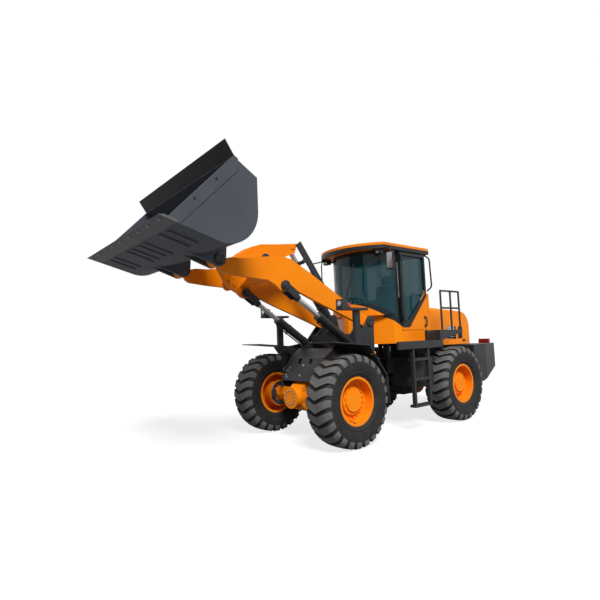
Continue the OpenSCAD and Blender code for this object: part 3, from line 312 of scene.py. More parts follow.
# paints; coat, wear and marks are what goes into the groups, shader into the shader itself
paints = {
    "orangePaint": {
        "coat": {"Colour": (0.96, 0.262, 0.003), "Faded": (0.9, 0.225, 0.003), "Dust": (0.42, 0.24, 0.1),
                 "Dust Amount": 0.1, "Dust Height": 1.3, "Gloss": 0.33},
        "wear": {"Reach": 0.006, "Amount": 0.22}, "bare": (0.5, 0.13, 0.02),
        "shader": {"Specular IOR Level": 0.14}, "bump": (0.25, 0.0006)},
    "framePaint": {
        "coat": {"Colour": (0.021, 0.022, 0.026), "Faded": (0.027, 0.028, 0.032), "Dust": (0.13, 0.12, 0.105),
                 "Dust Amount": 0.16, "Dust Height": 1.5, "Gloss": 0.38},
        "wear": {"Reach": 0.006, "Amount": 0.35}, "bare": (0.14, 0.14, 0.145),
        "shader": {"Specular IOR Level": 0.3}, "bump": (0.25, 0.0006)},
    "bucketPaint": {
        "coat": {"Colour": (0.058, 0.064, 0.079), "Faded": (0.068, 0.074, 0.09), "Dust": (0.15, 0.145, 0.14),
                 "Dust Amount": 0.12, "Dust Height": 3.0, "Gloss": 0.4},
        "wear": {"Reach": 0.006, "Amount": 0.4}, "bare": (0.2, 0.2, 0.205),
        "marks": {"Along": (2.0, 30.0, 30.0), "Amount": 0.25}, "scuffed": (0.12, 0.125, 0.135),
        "shader": {"Specular IOR Level": 0.25}, "bump": (0.25, 0.0008)},
    "blackPaint": {
        "coat": {"Colour": (0.014, 0.014, 0.015), "Faded": (0.02, 0.02, 0.021), "Dust": (0.1, 0.09, 0.08),
                 "Dust Amount": 0.2, "Dust Height": 1.5, "Gloss": 0.4},
        "wear": {"Reach": 0.004, "Amount": 0.25}, "bare": (0.06, 0.06, 0.06),
        "shader": {"Specular IOR Level": 0.25}, "bump": (0.25, 0.0005)},
}
paints["shellPaint"] = dict(paints["orangePaint"], above=(0.012, 0.02, 0.022), smoother=0.22)


def makePaint(name, look):
    finish, tree, shader = newFinish(name, **look["shader"])
    coat = useGroup(tree, paintWeather, **look["coat"])
    wear = useGroup(tree, edgeWear, **look["wear"])
    colour, rough = blendColour(wear["Mask"], coat["Colour"], look["bare"]), coat["Roughness"]
    if "marks" in look:
        marks = useGroup(tree, scuffs, **look["marks"])["Mask"]
        colour = blendColour(marks, colour, look["scuffed"])
    if "above" in look:
        over = useGroup(tree, glassEdge)["Mask"]
        colour = blendColour(over, colour, look["above"])
        rough = minus(rough, times(over, look["smoother"]), True)
    put(shader, "Base Color", colour)
    put(shader, "Roughness", rough)
    setBump(shader, coat["Height"], *look["bump"], wear["Normal"])
    return finish


# bare and plated metal
steels = {
    "edgeSteel": {"colour": (0.13, 0.13, 0.135), "dark": (0.07, 0.065, 0.06), "rough": 0.42,
                  "along": (2.0, 50.0, 50.0)},
    "boltSteel": {"colour": (0.35, 0.35, 0.36), "dark": (0.16, 0.15, 0.14), "rough": 0.35,
                  "along": (40.0, 40.0, 40.0)},
    "rodChrome": {"colour": (0.74, 0.75, 0.77), "dark": (0.6, 0.6, 0.62), "rough": 0.14,
                  "along": (60.0, 60.0, 3.0)}}
steelLook = Spec(scuffs=0.9, wear={"Reach": 0.004, "Amount": 0.8}, bright=(0.55, 0.55, 0.56), scuffRough=0.2,
    shader={"Metallic": 0.85}, bump=(0.3, 0.0006))


def makeSteel(name, look):
    finish, tree, shader = newFinish(name, **steelLook.shader)
    marks = useGroup(tree, scuffs, Along=look["along"], Amount=steelLook.scuffs)["Mask"]
    wear = useGroup(tree, edgeWear, **steelLook.wear)
    tone = blendColour(marks, look["colour"], look["dark"])
    put(shader, "Base Color", blendColour(wear["Mask"], tone, steelLook.bright))
    spread = times(marks, steelLook.scuffRough)
    put(shader, "Roughness", plus(spread, look["rough"], True))
    setBump(shader, marks, *steelLook.bump, wear["Normal"])
    return finish


glasses = {"cabGlazing": {
    "coat": {"Colour": (0.003, 0.05, 0.062), "Faded": (0.005, 0.062, 0.076), "Dust": (0.05, 0.09, 0.09),
             "Dust Amount": 0.06, "Dust Height": 3.0},
    "shader": {"Roughness": 0.05, "IOR": 1.5, "Alpha": 0.6, "Specular IOR Level": 0.3}}}


def makeGlass(name, look):
    finish, tree, shader = newFinish(name, **look["shader"])
    put(shader, "Base Color", useGroup(tree, paintWeather, **look["coat"])["Colour"])
    return finish


# tyre walls with grit, and the paler tops of the lugs with worn edges
rubbers = {
    "tyreRubber": {
        "blotch": (5, 6, 0.65, 0.35, 0.7), "dark": (0.016, 0.016, 0.016), "pale": (0.027, 0.026, 0.025),
        "wear": {"Reach": 0.008, "Amount": 0.5}, "grit": (40, 6, 0.7, 0.5, 0.75), "gritAmount": 0.22,
        "over": (0.1, 0.095, 0.085), "rough": (0.62, 0.15), "shader": {"Specular IOR Level": 0.22},
        "grain": (130, 4), "bump": (0.35, 0.0015)},
    "treadRubber": {
        "blotch": (7, 6, 0.65, 0.3, 0.7), "dark": (0.085, 0.083, 0.08), "pale": (0.13, 0.126, 0.12),
        "wear": {"Reach": 0.008, "Amount": 0.6}, "over": (0.19, 0.185, 0.175),
        "shader": {"Roughness": 0.78}, "grain": (150, 5), "bump": (0.4, 0.0015)}}


def makeRubber(name, look):
    finish, tree, shader = newFinish(name, **look["shader"])
    where = objectSpot(tree)
    blotch = patches(where, *look["blotch"])
    wear = useGroup(tree, edgeWear, **look["wear"])
    mask = wear["Mask"]
    if "grit" in look:
        mask = times(patches(where, *look["grit"]), look["gritAmount"])
        least, more = look["rough"]
        put(shader, "Roughness", plus(times(blotch, more), least))
    tone = blendColour(blotch, look["dark"], look["pale"])
    put(shader, "Base Color", blendColour(mask, tone, look["over"]))
    setBump(shader, noiseAt(where, *look["grain"]), *look["bump"], wear["Normal"])
    return finish


plasticDust = {"Dust": (0.1, 0.095, 0.09), "Dust Amount": 0.12, "Dust Height": 3.0}
plastics = {
    "cabPlastic": {"coat": {"Colour": (0.016, 0.016, 0.017), "Faded": (0.024, 0.024, 0.025), "Gloss": 0.48},
                   "cells": 420.0, "bump": (0.3, 0.0006)},
    "hoseRubber": {"coat": {"Colour": (0.012, 0.012, 0.012), "Faded": (0.018, 0.018, 0.018), "Gloss": 0.55},
                   "cells": 420.0, "bump": (0.3, 0.0004)}}


def makePlastic(name, look):
    finish, tree, shader = newFinish(name)
    skin = useGroup(tree, paintWeather, **look["coat"], **plasticDust)
    put(shader, "Base Color", skin["Colour"])
    put(shader, "Roughness", skin["Roughness"])
    setBump(shader, cellsAt(objectSpot(tree), look["cells"]), *look["bump"])
    return finish


lenses = {"lampClear": {"colour": (0.86, 0.87, 0.88), "deep": (0.55, 0.57, 0.6), "metal": 0.55},
          "lampRed": {"colour": (0.55, 0.02, 0.012), "deep": (0.28, 0.008, 0.006), "metal": 0.1},
          "lampAmber": {"colour": (0.85, 0.32, 0.02), "deep": (0.5, 0.16, 0.01), "metal": 0.1}}
lensLook = Spec(cells=70.0, ramp=(0.1, 0.6), shader={"Roughness": 0.08, "Coat Weight": 1.0},
    bump=(0.5, 0.003))


def makeLens(name, look):
    finish, tree, shader = newFinish(name, Metallic=look["metal"], **lensLook.shader)
    cells = cellsAt(objectSpot(tree), lensLook.cells)
    facet = stepRamp(cells, *lensLook.ramp)
    put(shader, "Base Color", blendColour(facet, look["colour"], look["deep"]))
    setBump(shader, cells, *lensLook.bump)
    return finish


cloths = {"seatCloth": {
    "weave": {"Scale": 180.0, "Distortion": 0.6, "bands_direction": "DIAGONAL"}, "dark": (0.03, 0.031, 0.034),
    "pale": (0.055, 0.057, 0.062), "fuzz": (25, 6), "fuzzAmount": 0.4, "fuzzColour": (0.075, 0.075, 0.08),
    "shader": {"Roughness": 0.9, "Sheen Weight": 0.35}, "bump": (0.4, 0.001)}}


def makeCloth(name, look):
    finish, tree, shader = newFinish(name, **look["shader"])
    where = objectSpot(tree)
    weave = addNode(tree, "TexWave", Vector=where, **look["weave"]).outputs["Fac"]
    tone = blendColour(weave, look["dark"], look["pale"])
    fuzz = times(noiseAt(where, *look["fuzz"]), look["fuzzAmount"])
    put(shader, "Base Color", blendColour(fuzz, tone, look["fuzzColour"]))
    setBump(shader, weave, *look["bump"])
    return finish


made = {}
for make, looks in ((makePaint, paints), (makeSteel, steels), (makeGlass, glasses), (makeRubber, rubbers),
                    (makePlastic, plastics), (makeLens, lenses), (makeCloth, cloths)):
    made.update({name: make(name, look) for name, look in looks.items()})
print("finishes made:", len(made))

corners = {"front_left": (1, 1), "front_right": (1, -1), "rear_left": (-1, 1), "rear_right": (-1, -1)}
dress = {
    "orangePaint": ["boom", "bell_crank", "bucket_link", "hood", "cab_roof", "front_axle", "rear_axle",
                    *("rim_" + corner for corner in corners)],
    "shellPaint": ["cab_base", "door"],
    "bucketPaint": ["bucket"],
    # the spill guard takes this near-black paint as painted shade; the other parts in this list are black
    "blackPaint": ["spill_guard", "cab_frame", "hood_grilles", "exhaust", "engine", "rear_shaft",
                   "front_shaft", "mirrors"],
    "edgeSteel": ["cutting_edge"],
    "rodChrome": ["steer_rod_left", "steer_rod_right"],
    "cabGlazing": ["cab_glass", "door_glass"],
    "seatCloth": ["seat"],
    "cabPlastic": ["console", "roof_lamps", "headlamps"],
    "lampRed": ["rear_lamps"],
    "tyreRubber": ["tyre_" + corner for corner in corners],
}
finishOf = {member: finish for finish, members in dress.items() for member in members}
for name, node in nodes.items():
    for slot in node.material_slots:
        slot.material = made[finishOf.get(name, "framePaint")]  # the rest are frames, tanks and cylinders
print("nodes dressed:", len(nodes))


# mesh helpers, in the machine's own lengths from the middle hinge
def spot(x, y, z):
    return Vector((x + hingeX, y, z))


def circle(count, shift=0.0):
    return [2 * pi * (k + shift) / count for k in range(count)]


def bridge(bm, a, b):
    faces = []
    for k in range(len(a)):
        j = (k + 1) % len(a)
        faces.append(bm.faces.new([a[k], a[j], b[j], b[k]]))
    return faces


def addPrism(bm, outline, place, depth, bevel, rounds):
    low = [bm.verts.new(place(a, b, 0)) for a, b in outline]
    high = [bm.verts.new(place(a, b, depth)) for a, b in outline]
    faces = [bm.faces.new(low[::-1]), bm.faces.new(high), *bridge(bm, low, high)]
    edges = list(dict.fromkeys(e for f in faces for e in f.edges))
    bmesh.ops.bevel(bm, geom=edges, offset=bevel, segments=rounds, profile=0.5, affect="EDGES",
                    clamp_overlap=True)


def addBlock(bm, low, high, bevel=0.004, rounds=2):
    outline = [(low[0], low[1]), (high[0], low[1]), (high[0], high[1]), (low[0], high[1])]
    addPrism(bm, outline, lambda a, b, d: spot(a, b, low[2] + d), high[2] - low[2], bevel, rounds)


def addPlate(bm, outline, y0, y1, bevel=0.003, rounds=2):
    addPrism(bm, outline, lambda a, b, d: spot(a, y0 + d, b), y1 - y0, bevel, rounds)


def addLathe(bm, profile, centre, axis, steps=32, closed=True):
    along = Vector(axis).normalized()
    side = along.orthogonal().normalized()
    cross = along.cross(side)
    rings = []
    for radius, height in profile:
        middle = centre + along * height
        if radius < 1e-6:
            rings.append([bm.verts.new(middle)])
        else:
            rings.append([bm.verts.new(middle + (side * cos(a) + cross * sin(a)) * radius)
                          for a in circle(steps)])
    pairs = list(zip(rings, rings[1:])) + ([(rings[-1], rings[0])] if closed else [])
    for a, b in pairs:
        if len(a) == len(b):
            bridge(bm, a, b)
            continue
        for k in range(steps):
            j = (k + 1) % steps
            bm.faces.new([a[0], b[j], b[k]] if len(a) == 1 else [a[k], a[j], b[0]])


def addRod(bm, p, q, radius, steps=20):
    length = (q - p).length
    c = min(radius, length) * 0.12  # chamfer
    profile = [(0, 0), (radius - c, 0), (radius, c), (radius, length - c), (radius - c, length), (0, length)]
    addLathe(bm, profile, p, q - p, steps, False)


# a washer and a hexagon, in shares of the bolt's radius and height
hexBolt = Spec(washer=[(0, 0), (1.35, 0), (1.35, 0.18), (1.05, 0.2)], washerSteps=14,
    head=[(1, 0.18), (1, 0.86), (0.84, 1), (0, 1)])


def addHex(bm, p, axis, radius, height):
    for profile, steps in ((hexBolt.washer, hexBolt.washerSteps), (hexBolt.head, 6)):
        addLathe(bm, [(a * radius, b * height) for a, b in profile], p, axis, steps, False)


def smoothPath(points, steps=8):
    ends = [points[0] * 2 - points[1]] + points + [points[-1] * 2 - points[-2]]
    path = []
    for a, b, c, d in zip(ends, ends[1:], ends[2:], ends[3:]):
        path += interpolate_bezier(b, b + (c - a) / 6, c - (d - b) / 6, c, steps + 1)[:-1]
    return path + [points[-1]]


def addTube(bm, path, radius, steps=10):
    side = (path[1] - path[0]).normalized().orthogonal().normalized()
    rings = []
    for i, p in enumerate(path):
        ahead = (path[min(i + 1, len(path) - 1)] - path[max(i - 1, 0)]).normalized()
        side = (side - ahead * side.dot(ahead)).normalized()
        cross = ahead.cross(side)
        rings.append([bm.verts.new(p + (side * cos(a) + cross * sin(a)) * radius)
                      for a in circle(steps)])
    for a, b in zip(rings, rings[1:]):
        bridge(bm, a, b)
    bm.faces.new(rings[0][::-1])
    bm.faces.new(rings[-1])


def addBentTube(bm, points, bend, radius, steps=6):
    path = [points[0]]
    for a, b, c in zip(points, points[1:], points[2:]):
        back, on = (a - b).normalized(), (c - b).normalized()
        r = min(bend, (a - b).length * 0.48, (c - b).length * 0.48)  # two bends share a straight
        for k in range(steps + 1):
            t = k / steps
            path.append(b + back * r * (1 - t) ** 2 + on * r * t ** 2)
    addTube(bm, path + [points[-1]], radius)


def addBand(bm, outer, inner, place, low, high):
    loops = [[bm.verts.new(place(a, b, d)) for a, b in loop]
             for loop, d in ((outer, low), (inner, low), (inner, high), (outer, high))]
    for a, b in zip(loops, loops[1:] + loops[:1]):
        bridge(bm, a, b)


def onFace(node, start, towards):
    hit, point, normal, _ = nodes[node].ray_cast(start, Vector(towards))
    return (point, normal) if hit else (None, None)


def addBoltOn(bm, node, start, towards, size):
    point, normal = onFace(node, start, towards)
    if point:
        addHex(bm, point - normal * seated, normal, *size)


def makePiece(name, bm, finish, body, angle=38):
    bmesh.ops.recalc_face_normals(bm, faces=bm.faces)
    mesh = bpy.data.meshes.new(name)
    bm.to_mesh(mesh)
    bm.free()
    for one in (finish if isinstance(finish, list) else [finish]):
        mesh.materials.append(made[one])
    mesh.polygons.foreach_set("use_smooth", [True] * len(mesh.polygons))
    mesh.set_sharp_from_angle(angle=radians(angle))
    piece = addObject(name, mesh)
    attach(piece, body)
    return piece


# tyres with chevron lugs; a lug's section is share of half its width, drop, and whether it sinks in
tyre = Spec(x=1.4, y=0.925, z=0.665, lugs=24, sweep=0.55, cover=0.74, steps=96,
    carcass=[(0.33, 0.128), (0.326, 0.15), (0.336, 0.172), (0.36, 0.186), (0.392, 0.2), (0.396, 0.206),
        (0.408, 0.206), (0.412, 0.203), (0.45, 0.213), (0.5, 0.218), (0.545, 0.217), (0.585, 0.209),
        (0.612, 0.193), (0.626, 0.17), (0.632, 0.12), (0.634, 0.06), (0.634, 0.0)],
    crown=[(0.0, 0.665), (0.05, 0.665), (0.1, 0.6635), (0.14, 0.660), (0.17, 0.654), (0.192, 0.643),
        (0.206, 0.622), (0.2155, 0.592), (0.219, 0.556)],
    section=[(-1.1, 0.045, 1), (-1.0, 0.006, 0), (-0.93, 0, 0), (0.93, 0, 0), (1.0, 0.006, 0),
        (1.1, 0.045, 1)],
    topStrip=2, taper=0.12, sink=0.02, endSink=0.012, endShare=0.85)


def wheelCentre(name):
    front, left = corners[name]
    return spot(front * tyre.x, left * tyre.y, tyre.z), left


def addLug(bm, centre, at, pitch):
    stations = [(-y, r) for y, r in tyre.crown[:0:-1]] + tyre.crown
    rows = []
    for y, top in stations:
        share = abs(y) / tyre.crown[-1][0]
        middle = at + tyre.sweep * pitch * (0.5 - share)
        half = 0.5 * pitch * tyre.cover * (1.0 - tyre.taper * share)
        sink = tyre.sink if share < tyre.endShare else tyre.endSink
        row = []
        for across, drop, sinks in tyre.section:
            turn, radius = middle + across * half, top - drop
            off = y - copysign(sink * sinks * share, y) if y else 0.0
            row.append(bm.verts.new(centre + Vector((sin(turn) * radius, off, cos(turn) * radius))))
        rows.append(row)
    for a, b in zip(rows, rows[1:]):
        for k in range(len(a) - 1):
            face = bm.faces.new([a[k], a[k + 1], b[k + 1], b[k]])
            face.material_index = int(k == tyre.topStrip)
    bm.faces.new(rows[0])
    bm.faces.new(rows[-1][::-1])


def makeTyre(name):
    centre, _ = wheelCentre(name)
    bm = bmesh.new()
    profile = tyre.carcass + [(r, -y) for r, y in tyre.carcass[-2::-1]]
    addLathe(bm, profile, centre, (0, 1, 0), tyre.steps)
    bmesh.ops.recalc_face_normals(bm, faces=bm.faces)
    pitch = 2 * pi / tyre.lugs
    for k in range(tyre.lugs):
        addLug(bm, centre, k * pitch, pitch)
    finish = ["tyreRubber", "treadRubber"]
    piece = makePiece("treadTyre_" + name, bm, finish, "wheel_" + name, 30)
    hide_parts("tyre_" + name)


# each ring of nuts is count, radius, seat and size
nuts = Spec(rings=[(20, 0.245, 0.038, 1.0), (12, 0.172, 0.082, 0.7)], radius=0.014, height=0.02)


def makeWheelNuts(name):
    centre, left = wheelCentre(name)
    bm = bmesh.new()
    for count, ring, seat, size in nuts.rings:
        for a in circle(count, 0.5):
            p = centre + Vector((sin(a) * ring, left * (seat - seated), cos(a) * ring))
            addHex(bm, p, (0, left, 0), nuts.radius * size, nuts.height * size)
    makePiece("wheelNuts_" + name, bm, "orangePaint", "wheel_" + name, 30)


for name in corners:
    makeTyre(name)
    makeWheelNuts(name)
print("wheels dressed")

# black frame round the door's window, with its rubber and handle
doorTrim = {
    "window": [(-0.27, 1.835), (-0.27, 2.955), (-0.895, 2.955), (-0.895, 2.3), (-0.399, 1.835)],
    "frame": [(-0.22, 1.7), (-0.22, 3.005), (-0.945, 3.005), (-0.945, 2.255), (-0.4, 1.7)],
    "rubber": [(-0.262, 1.825), (-0.262, 2.963), (-0.903, 2.963), (-0.903, 2.29), (-0.404, 1.825)],
    "face": 0.7505, "thick": 0.005, "lip": 0.009}
handle = Spec(x=-0.86, ends=(1.87, 1.72), reach=0.042, root=0.002, bend=0.02, tube=0.011,
    padHalf=(0.022, 0.03), padThick=0.008)


def makeDoorTrim():
    face = doorTrim["face"]
    bm = bmesh.new()
    for loop, thick in (("frame", "thick"), ("rubber", "lip")):
        out = face + doorTrim[thick]
        addBand(bm, doorTrim[loop], doorTrim["window"], lambda a, b, d: spot(a, d, b), face, out)
    makePiece("doorTrim", bm, "blackPaint", "door", 30)
    bm = bmesh.new()
    x, (top, low) = handle.x, handle.ends
    root, grip = face - handle.root, face + handle.reach
    points = [spot(x, root, top), spot(x, grip, top), spot(x, grip, low), spot(x, root, low)]
    addBentTube(bm, points, handle.bend, handle.tube)
    wide, tall = handle.padHalf
    for z in handle.ends:
        addBlock(bm, (x - wide, face - seated, z - tall), (x + wide, face + handle.padThick, z + tall))
    makePiece("doorHandle", bm, "cabPlastic", "door")


makeDoorTrim()

# dark lip under the roof's edge
roofLip = {"out": 0.004, "in": 0.05, "low": -0.014, "high": 0.05}


def makeRoofLip():
    points = sorted({(round(v.co.x, 4), round(v.co.y, 4)) for v in nodes["cab_roof"].data.vertices})
    roof = [Vector(points[i]) for i in convex_hull_2d(points)]
    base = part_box("cab_roof")[0].z
    middle = sum(roof, Vector((0, 0))) / len(roof)
    outer, inner = ([q + (q - middle).normalized() * move for q in roof]
                    for move in (roofLip["out"], -roofLip["in"]))
    bm = bmesh.new()
    low, high = base + roofLip["low"], base + roofLip["high"]
    addBand(bm, outer, inner, lambda a, b, d: Vector((a, b, d)), low, high)
    makePiece("roofLip", bm, "blackPaint", "chassis", 30)


makeRoofLip()

# round lamps on the roof and the posts; the lens is in shares of radius and dome
lamps = Spec(head=(1.51, 0.937, 2.057, 0.047), roof=(0.212, 0.627, 0.042),
    lens=[(0, 1), (0.45, 0.8), (0.8, 0.4), (1, 0)], dome=0.011, lensBack=0.004, steps=28,
    bezel=[(0, 0), (0, 0.009), (0.004, 0.013), (0.009, 0.009), (0.011, 0)])
# square lamps on the posts and the fenders
blockLamps = {
    "postLamps": {"x": 1.34, "y": 0.937, "half": (0.03, 0.045), "ends": (1.996, 2.06), "bevel": 0.009,
                  "finish": "lampRed", "slot": "lamp_red"},
    "fenderLamps": {"x": 1.02, "y": 1.1, "half": (0.03, 0.035), "ends": (1.3, 1.345), "bevel": 0.008,
                    "finish": "lampAmber", "slot": "lamp_plastic"}}


def makeLampSet(name, body, x, y, z, r):
    lens, bezel = bmesh.new(), bmesh.new()
    back = lamps.lensBack
    dome = [(a * r, b * lamps.dome) for a, b in lamps.lens] + [(r, -back), (0, -back)]
    ring = [(r + a, b) for a, b in lamps.bezel]
    for side in bothSides:
        addLathe(lens, dome, spot(x + seated, side * y, z), (1, 0, 0), lamps.steps, False)
        addLathe(bezel, ring, spot(x, side * y, z), (1, 0, 0), lamps.steps)
    makePiece(name + "Lenses", lens, "lampClear", body, 40)
    makePiece(name + "Bezels", bezel, "cabPlastic", body, 40)


def makeLamps():
    low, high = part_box("roof_lamps")
    makeLampSet("head", "front_unit", *lamps.head)
    x, y, radius = lamps.roof
    makeLampSet("roof", "chassis", x, y, (low.z + high.z) / 2, radius)
    for name, lamp in blockLamps.items():
        bm = bmesh.new()
        x, (deep, wide), (foot, top) = lamp["x"], lamp["half"], lamp["ends"]
        for side in bothSides:
            y = side * lamp["y"]
            addBlock(bm, (x - deep, y - wide, foot), (x + deep, y + wide, top), lamp["bevel"], 3)
        makePiece(name, bm, lamp["finish"], "front_unit")


makeLamps()

# mirror backs, wiper on the round screen and the cab's rails
mirror = Spec(x=0.2895, y=0.93, low=2.66, high=2.92, half=0.052, thick=0.006, bevel=0.003)
wiper = Spec(screen=(-0.355, 0.756), arm=[(-0.1, 2.0), (0.12, 2.38), (0.2, 2.52)], armOut=0.014,
    armTube=0.008, blade=[(0.06, 2.2), (0.3, 2.84)], bladeOut=0.007, bladeSteps=8, hub=(-0.004, 0.026),
    hubRadius=0.024)
rails = Spec(post=[(-1.03, 0.7, 3.02), (-1.03, 0.8, 2.95), (-1.03, 0.82, 2.42), (-1.03, 0.72, 2.36)],
    front=[(0.3, -0.6, 3.05), (0.335, -0.62, 2.95), (0.335, -0.62, 2.25), (0.29, -0.56, 2.2)],
    step=[(-0.62, 1.06, 1.452), (-0.62, 1.06, 1.6), (-0.46, 1.06, 1.6), (-0.46, 1.06, 1.452)], bend=0.05,
    stepBend=0.04, tube=0.014, frontTube=0.0112)


def onScreen(angle, z, out):
    middle, radius = wiper.screen
    return spot(middle + (radius + out) * cos(angle), (radius + out) * sin(angle), z)


def makeMirrorBacks():
    bm = bmesh.new()
    x, half = mirror.x, mirror.half
    for side in bothSides:
        y = side * mirror.y
        low, high = (x, y - half, mirror.low), (x + mirror.thick, y + half, mirror.high)
        addBlock(bm, low, high, mirror.bevel)
    makePiece("mirrorBacks", bm, "boltSteel", "chassis")


def makeWiper():
    bm = bmesh.new()
    addTube(bm, [onScreen(a, z, wiper.armOut) for a, z in wiper.arm], wiper.armTube)
    (a0, z0), (a1, z1) = wiper.blade
    steps, out = wiper.bladeSteps, wiper.bladeOut
    blade = [onScreen(a0 + (a1 - a0) * k / steps, z0 + (z1 - z0) * k / steps, out) for k in range(steps + 1)]
    addTube(bm, blade, wiper.bladeOut)
    inner, outer = (onScreen(*wiper.arm[0], out) for out in wiper.hub)
    addRod(bm, inner, outer, wiper.hubRadius)
    makePiece("wiper", bm, "cabPlastic", "chassis")


def makeRails():
    bm = bmesh.new()
    for side in bothSides:
        addBentTube(bm, [spot(x, side * y, z) for x, y, z in rails.post], rails.bend, rails.tube)
    addBentTube(bm, [spot(*p) for p in rails.front], rails.bend, rails.frontTube)
    for side in bothSides:
        addBentTube(bm, [spot(x, side * y, z) for x, y, z in rails.step], rails.stepBend, rails.tube)
    makePiece("cabRails", bm, "blackPaint", "chassis")


makeMirrorBacks()
makeWiper()
makeRails()
print("cab fitted")

# chrome on the rods, with a gland, a pipe and its clamps on each barrel
cylinders = {
    "lift": {"eye": (2.172, 2.331), "foot": (0.72, 1.37), "chrome": (0.272, 1.08), "radius": 0.0383,
             "barrel": 0.068, "barrelLength": 0.94, "places": {"_left": 0.5, "_right": -0.5}},
    "tilt": {"eye": (1.6429, 3.0189), "foot": (0.8, 1.87), "chrome": (0.1, 0.93), "radius": 0.0403,
             "barrel": 0.072, "barrelLength": 0.78, "places": {"": 0.0}}}
pipe = Spec(tube=0.0115, bend=0.022, root=0.006, out=0.026, end=0.16, glandAt=0.012, glandHalf=0.034,
    glandGap=0.004, glandOut=0.008, clampAt=0.25, clampEnd=0.3, clampHalf=0.016, clampIn=0.003,
    clampOut=0.005, stud=(0.001, 0.042), studRadius=0.017)


def addPipe(bm, at, along, start, length, rod, barrel):
    root, out, end = barrel - pipe.root, barrel + pipe.out, length - pipe.end
    points = [at(start, root), at(start, out), at(end, out), at(end, root)]
    addBentTube(bm, points, pipe.bend, pipe.tube)
    clamps = (start + pipe.clampAt, length - pipe.clampEnd)
    rings = [(start + pipe.glandAt, pipe.glandHalf, rod + pipe.glandGap, barrel + pipe.glandOut)]
    rings += [(s, pipe.clampHalf, barrel - pipe.clampIn, barrel + pipe.clampOut) for s in clamps]
    for s, half, hole, rim in rings:
        addLathe(bm, [(hole, -half), (rim, -half), (rim, half), (hole, half)], at(s), along, 40)
    for s in clamps:
        low, high = (at(s, barrel + off) for off in pipe.stud)
        addRod(bm, low, high, pipe.studRadius, 16)


def makeCylinders():
    for name, c in cylinders.items():
        eye, foot = (Vector((x, 0, z)) for x, z in (c["eye"], c["foot"]))
        length = (foot - eye).length
        along = (foot - eye) / length
        down = Vector((along.z, 0, -along.x))
        down = down if down.z < 0 else -down
        for tail, y in c["places"].items():
            at = lambda s, off=0.0: spot(*(eye + along * s + down * off + Vector((0, y, 0))))
            bm = bmesh.new()
            addRod(bm, *(at(s) for s in c["chrome"]), c["radius"], 36)
            makePiece(name + "Chrome" + tail, bm, "rodChrome", name + "_rod" + tail)
            bm = bmesh.new()
            addPipe(bm, at, along, length - c["barrelLength"], length, c["radius"], c["barrel"])
            makePiece(name + "Pipe" + tail, bm, "framePaint", name + "_barrel" + tail)


makeCylinders()

# caps on the pins: body, x, z, half width, radius and thickness
pinCaps = [("front_unit", 0.46, 1.81, 0.606, 0.088, 0.02), ("boom", 2.172, 2.331, 0.574, 0.05, 0.014),
           ("bucket", 3.2698, 2.6157, 0.6155, 0.082, 0.018), ("boom", 2.2096, 2.7709, 0.1525, 0.085, 0.018)]
# a cap's profile and its bolts, in shares of its radius and thickness
capShape = Spec(profile=[(0, 0), (1, 0), (1, 0.75), (0.92, 1), (0.5, 1), (0.46, 0.8), (0, 0.8)], sink=0.002,
    bolts=3, boltTurn=0.4, boltRing=0.7, boltRadius=0.12, boltHeight=0.14)


def makePinCaps():
    for k, (body, x, z, y, r, t) in enumerate(pinCaps):
        bm = bmesh.new()
        for side in bothSides:
            base = spot(x, side * (y - capShape.sink), z)
            addLathe(bm, [(a * r, b * t) for a, b in capShape.profile], base, (0, side, 0), 40, False)
            for turn in circle(capShape.bolts):
                a, ring = turn + capShape.boltTurn, capShape.boltRing * r
                p = base + Vector((cos(a) * ring, side * t, sin(a) * ring))
                addHex(bm, p, (0, side, 0), capShape.boltRadius * r, capShape.boltHeight * r)
        makePiece("pinCaps" + str(k), bm, "framePaint", body)


makePinCaps()
print("linkage dressed")

# bolts along the cutting edge, set on its under face
edgeBolts = Spec(count=9, reach=1.18, share=0.3, bolt=(0.017, 0.016), sink=0.002)


def makeEdgeBolts():
    mesh = nodes["cutting_edge"].data
    wide = sorted(mesh.polygons, key=lambda f: -f.area)[:4]
    under = min(wide, key=lambda f: f.normal.z).normal.copy()
    points = [mesh.vertices[i].co for f in mesh.polygons if f.normal.dot(under) > 0.999 for i in f.vertices]
    back = under.cross(Vector((0, 1, 0)))
    ordered = sorted(points, key=lambda q: q.dot(back))
    start, end = ordered[0].copy(), ordered[-1].copy()
    start.y = end.y = 0
    row = start + (end - start) * (edgeBolts.share if back.x < 0 else 1 - edgeBolts.share)
    bm = bmesh.new()
    for k in range(edgeBolts.count):
        y = edgeBolts.reach * (2 * k / (edgeBolts.count - 1) - 1)
        p = row + Vector((0, y, 0)) - under * edgeBolts.sink
        addHex(bm, p, under, *edgeBolts.bolt)
    makePiece("edgeBolts", bm, "boltSteel", "bucket", 30)


makeEdgeBolts()

# padded seat on its base; each pad is middle, half size, crowned axis and recline
recline = radians(-8)
seatPads = {"Cushion": ((-0.52, 0, 1.85), (0.25, 0.25, 0.065), 2, 0.0),
            "Back": ((-0.755, 0, 2.2), (0.06, 0.24, 0.33), 0, recline),
            "Head": ((-0.815, 0, 2.63), (0.045, 0.13, 0.085), 0, recline)}
padShape = Spec(soft=0.04, crown=0.022, cuts=11, seamAt=0.62, seamWidth=0.06, seamDepth=0.5)
seatBase = Spec(low=(-0.75, -0.15, 1.476), high=(-0.33, 0.15, 1.79), bevel=0.012,
    post=[(-0.79, 2.5), (-0.81, 2.6)], postY=0.06, postRadius=0.008)


